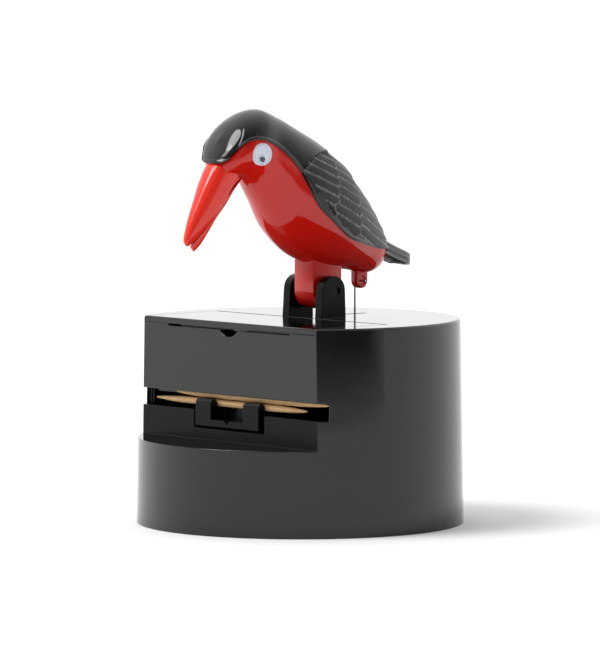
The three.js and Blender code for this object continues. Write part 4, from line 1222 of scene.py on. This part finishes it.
@dataclass
class Studio:
    """A white floor, a white room that is darker behind the camera, and two soft lights."""

    palette: Palette
    azimuth: float = 48.409
    elevation: float = 4.204
    distance: float = 1.5
    aim_height: float = 0.05
    aim_side: float = -0.000062
    aim_up: float = 0.006184
    lens: float = 291.06
    room: float = 1.3
    shade: float = 0.32
    shade_from: tuple[float, float] = (-0.5, 0.6)  # cosine to the camera, from bright to shaded
    sun_turn: float = -28.0
    sun_height: float = 54.0
    sun_angle: float = 32.0
    sun_power: float = 1.9
    box_place: tuple[float, float, float] = (-0.55, -1.25, 1.15)
    box_size: float = 0.5
    box_power: float = 4.0
    card_turn: float = 74.0
    card_distance: float = 0.55
    card_size: tuple[float, float] = (0.75, 0.9)
    card_dark: float = 0.13
    card_foot: float = 0.9  # brightness where it stands on the floor
    card_side: float = 0.95  # brightness at its sides
    floor_size: float = 40.0

    def camera(self) -> Vector:
        """Places the camera and returns the way from the object to it."""
        away = heading(self.azimuth, self.elevation)
        az = math.radians(self.azimuth)
        right = Vector((math.cos(az), math.sin(az), 0))
        aim = Vector((0, 0, self.aim_height)) + right * self.aim_side + away.cross(right) * self.aim_up
        bpy.ops.object.camera_add(location=aim + away * self.distance)
        camera = bpy.context.object
        look(camera, -away)
        camera.data.lens = self.lens
        camera.data.sensor_width = 36
        camera.data.clip_end = 100
        bpy.context.scene.camera = camera
        return away

    def softbox(self) -> None:
        """Adds a soft square light in front, which looks at the object."""
        bpy.ops.object.light_add(type="AREA", location=self.box_place)
        lamp = bpy.context.object
        lamp.name = "softbox_front"
        lamp.data.shape = "RECTANGLE"
        lamp.data.size = self.box_size
        lamp.data.size_y = self.box_size
        lamp.data.energy = self.box_power
        look(lamp, Vector((0, 0, 0.06)) - Vector(self.box_place))

    def sun(self) -> None:
        """Adds the wide, soft key light from the left."""
        way = heading(self.sun_turn, self.sun_height)
        bpy.ops.object.light_add(type="SUN", location=way * 2)
        lamp = bpy.context.object
        lamp.name = "key"
        lamp.data.energy = self.sun_power
        lamp.data.angle = math.radians(self.sun_angle)
        look(lamp, -way)

    def card(self) -> None:
        """Stands a dark card on the camera's side, seen only in the polished plastic."""
        way = heading(self.card_turn, 0.0)
        across = Vector((-way.y, way.x, 0))
        wide, high = self.card_size
        bpy.ops.object.select_all(action="DESELECT")
        bpy.ops.mesh.primitive_plane_add(size=1)
        card = bpy.context.object
        card.name = "dark_card"
        for vertex in card.data.vertices:
            lift = Vector((0, 0, (vertex.co.y + 0.5) * high))
            vertex.co = way * self.card_distance + across * vertex.co.x * wide + lift
        material = bpy.data.materials.new("dark_card")
        material.use_nodes = True
        tree = material.node_tree
        tree.nodes.clear()
        place = add(tree, "ShaderNodeTexCoord", {}).outputs["Object"]
        parts = add(tree, "ShaderNodeSeparateXYZ", {"Vector": place})
        level = remap(tree, parts.outputs["Z"], (0.0, 0.03), (self.card_foot, self.card_dark))
        along = add(tree, "ShaderNodeVectorMath", {0: place, 1: tuple(across)}, operation="DOT_PRODUCT")
        off = add(tree, "ShaderNodeMath", {0: along.outputs["Value"]}, operation="ABSOLUTE")
        fade = remap(tree, off.outputs["Value"], (0.3 * wide, 0.5 * wide), (self.card_dark, self.card_side))
        lit = add(tree, "ShaderNodeMath", {0: level, 1: fade}, operation="MAXIMUM")
        glow = add(tree, "ShaderNodeEmission", {"Strength": lit.outputs["Value"]})
        add(tree, "ShaderNodeOutputMaterial", {"Surface": glow.outputs["Emission"]})
        card.data.materials.append(material)
        card.visible_camera = False
        card.visible_diffuse = False
        card.visible_shadow = False

    def room_light(self, away: Vector) -> None:
        """Lights the room, bright behind the object and shaded behind the camera."""
        world = bpy.data.worlds.new("white_room")
        bpy.context.scene.world = world
        world.use_nodes = True
        tree = world.node_tree
        tree.nodes.clear()
        way = add(tree, "ShaderNodeTexCoord", {}).outputs["Generated"]
        facing = add(tree, "ShaderNodeVectorMath", {0: way, 1: tuple(away)}, operation="DOT_PRODUCT")
        level = remap(tree, facing.outputs["Value"], self.shade_from, (self.room, self.shade),
                      interpolation_type="SMOOTHSTEP")
        sky = add(tree, "ShaderNodeBackground", {"Color": linear("#ffffff"), "Strength": level})
        add(tree, "ShaderNodeOutputWorld", {"Surface": sky.outputs["Background"]})

    def build(self) -> None:
        """Builds the room."""
        away = self.camera()
        bpy.context.scene.view_settings.view_transform = "Standard"
        self.room_light(away)
        self.softbox()
        self.sun()
        self.card()
        bpy.ops.object.select_all(action="DESELECT")
        bpy.ops.mesh.primitive_plane_add(size=self.floor_size)
        floor = bpy.context.object
        floor.name = "floor"
        floor.data.materials.append(self.palette.paper)


def main() -> None:
    """Builds every sub-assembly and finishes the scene."""
    logging.basicConfig(level=logging.INFO, format="%(message)s")
    palette = Palette()
    form = BirdForm()
    Studio(palette).build()
    for part in (Housing(palette), Body(palette, form), Back(palette, form), Beak(palette), Eyes(palette),
                 Linkage(palette), Toothpicks(palette)):
        part.build()


if __name__ == "__main__":
    main()
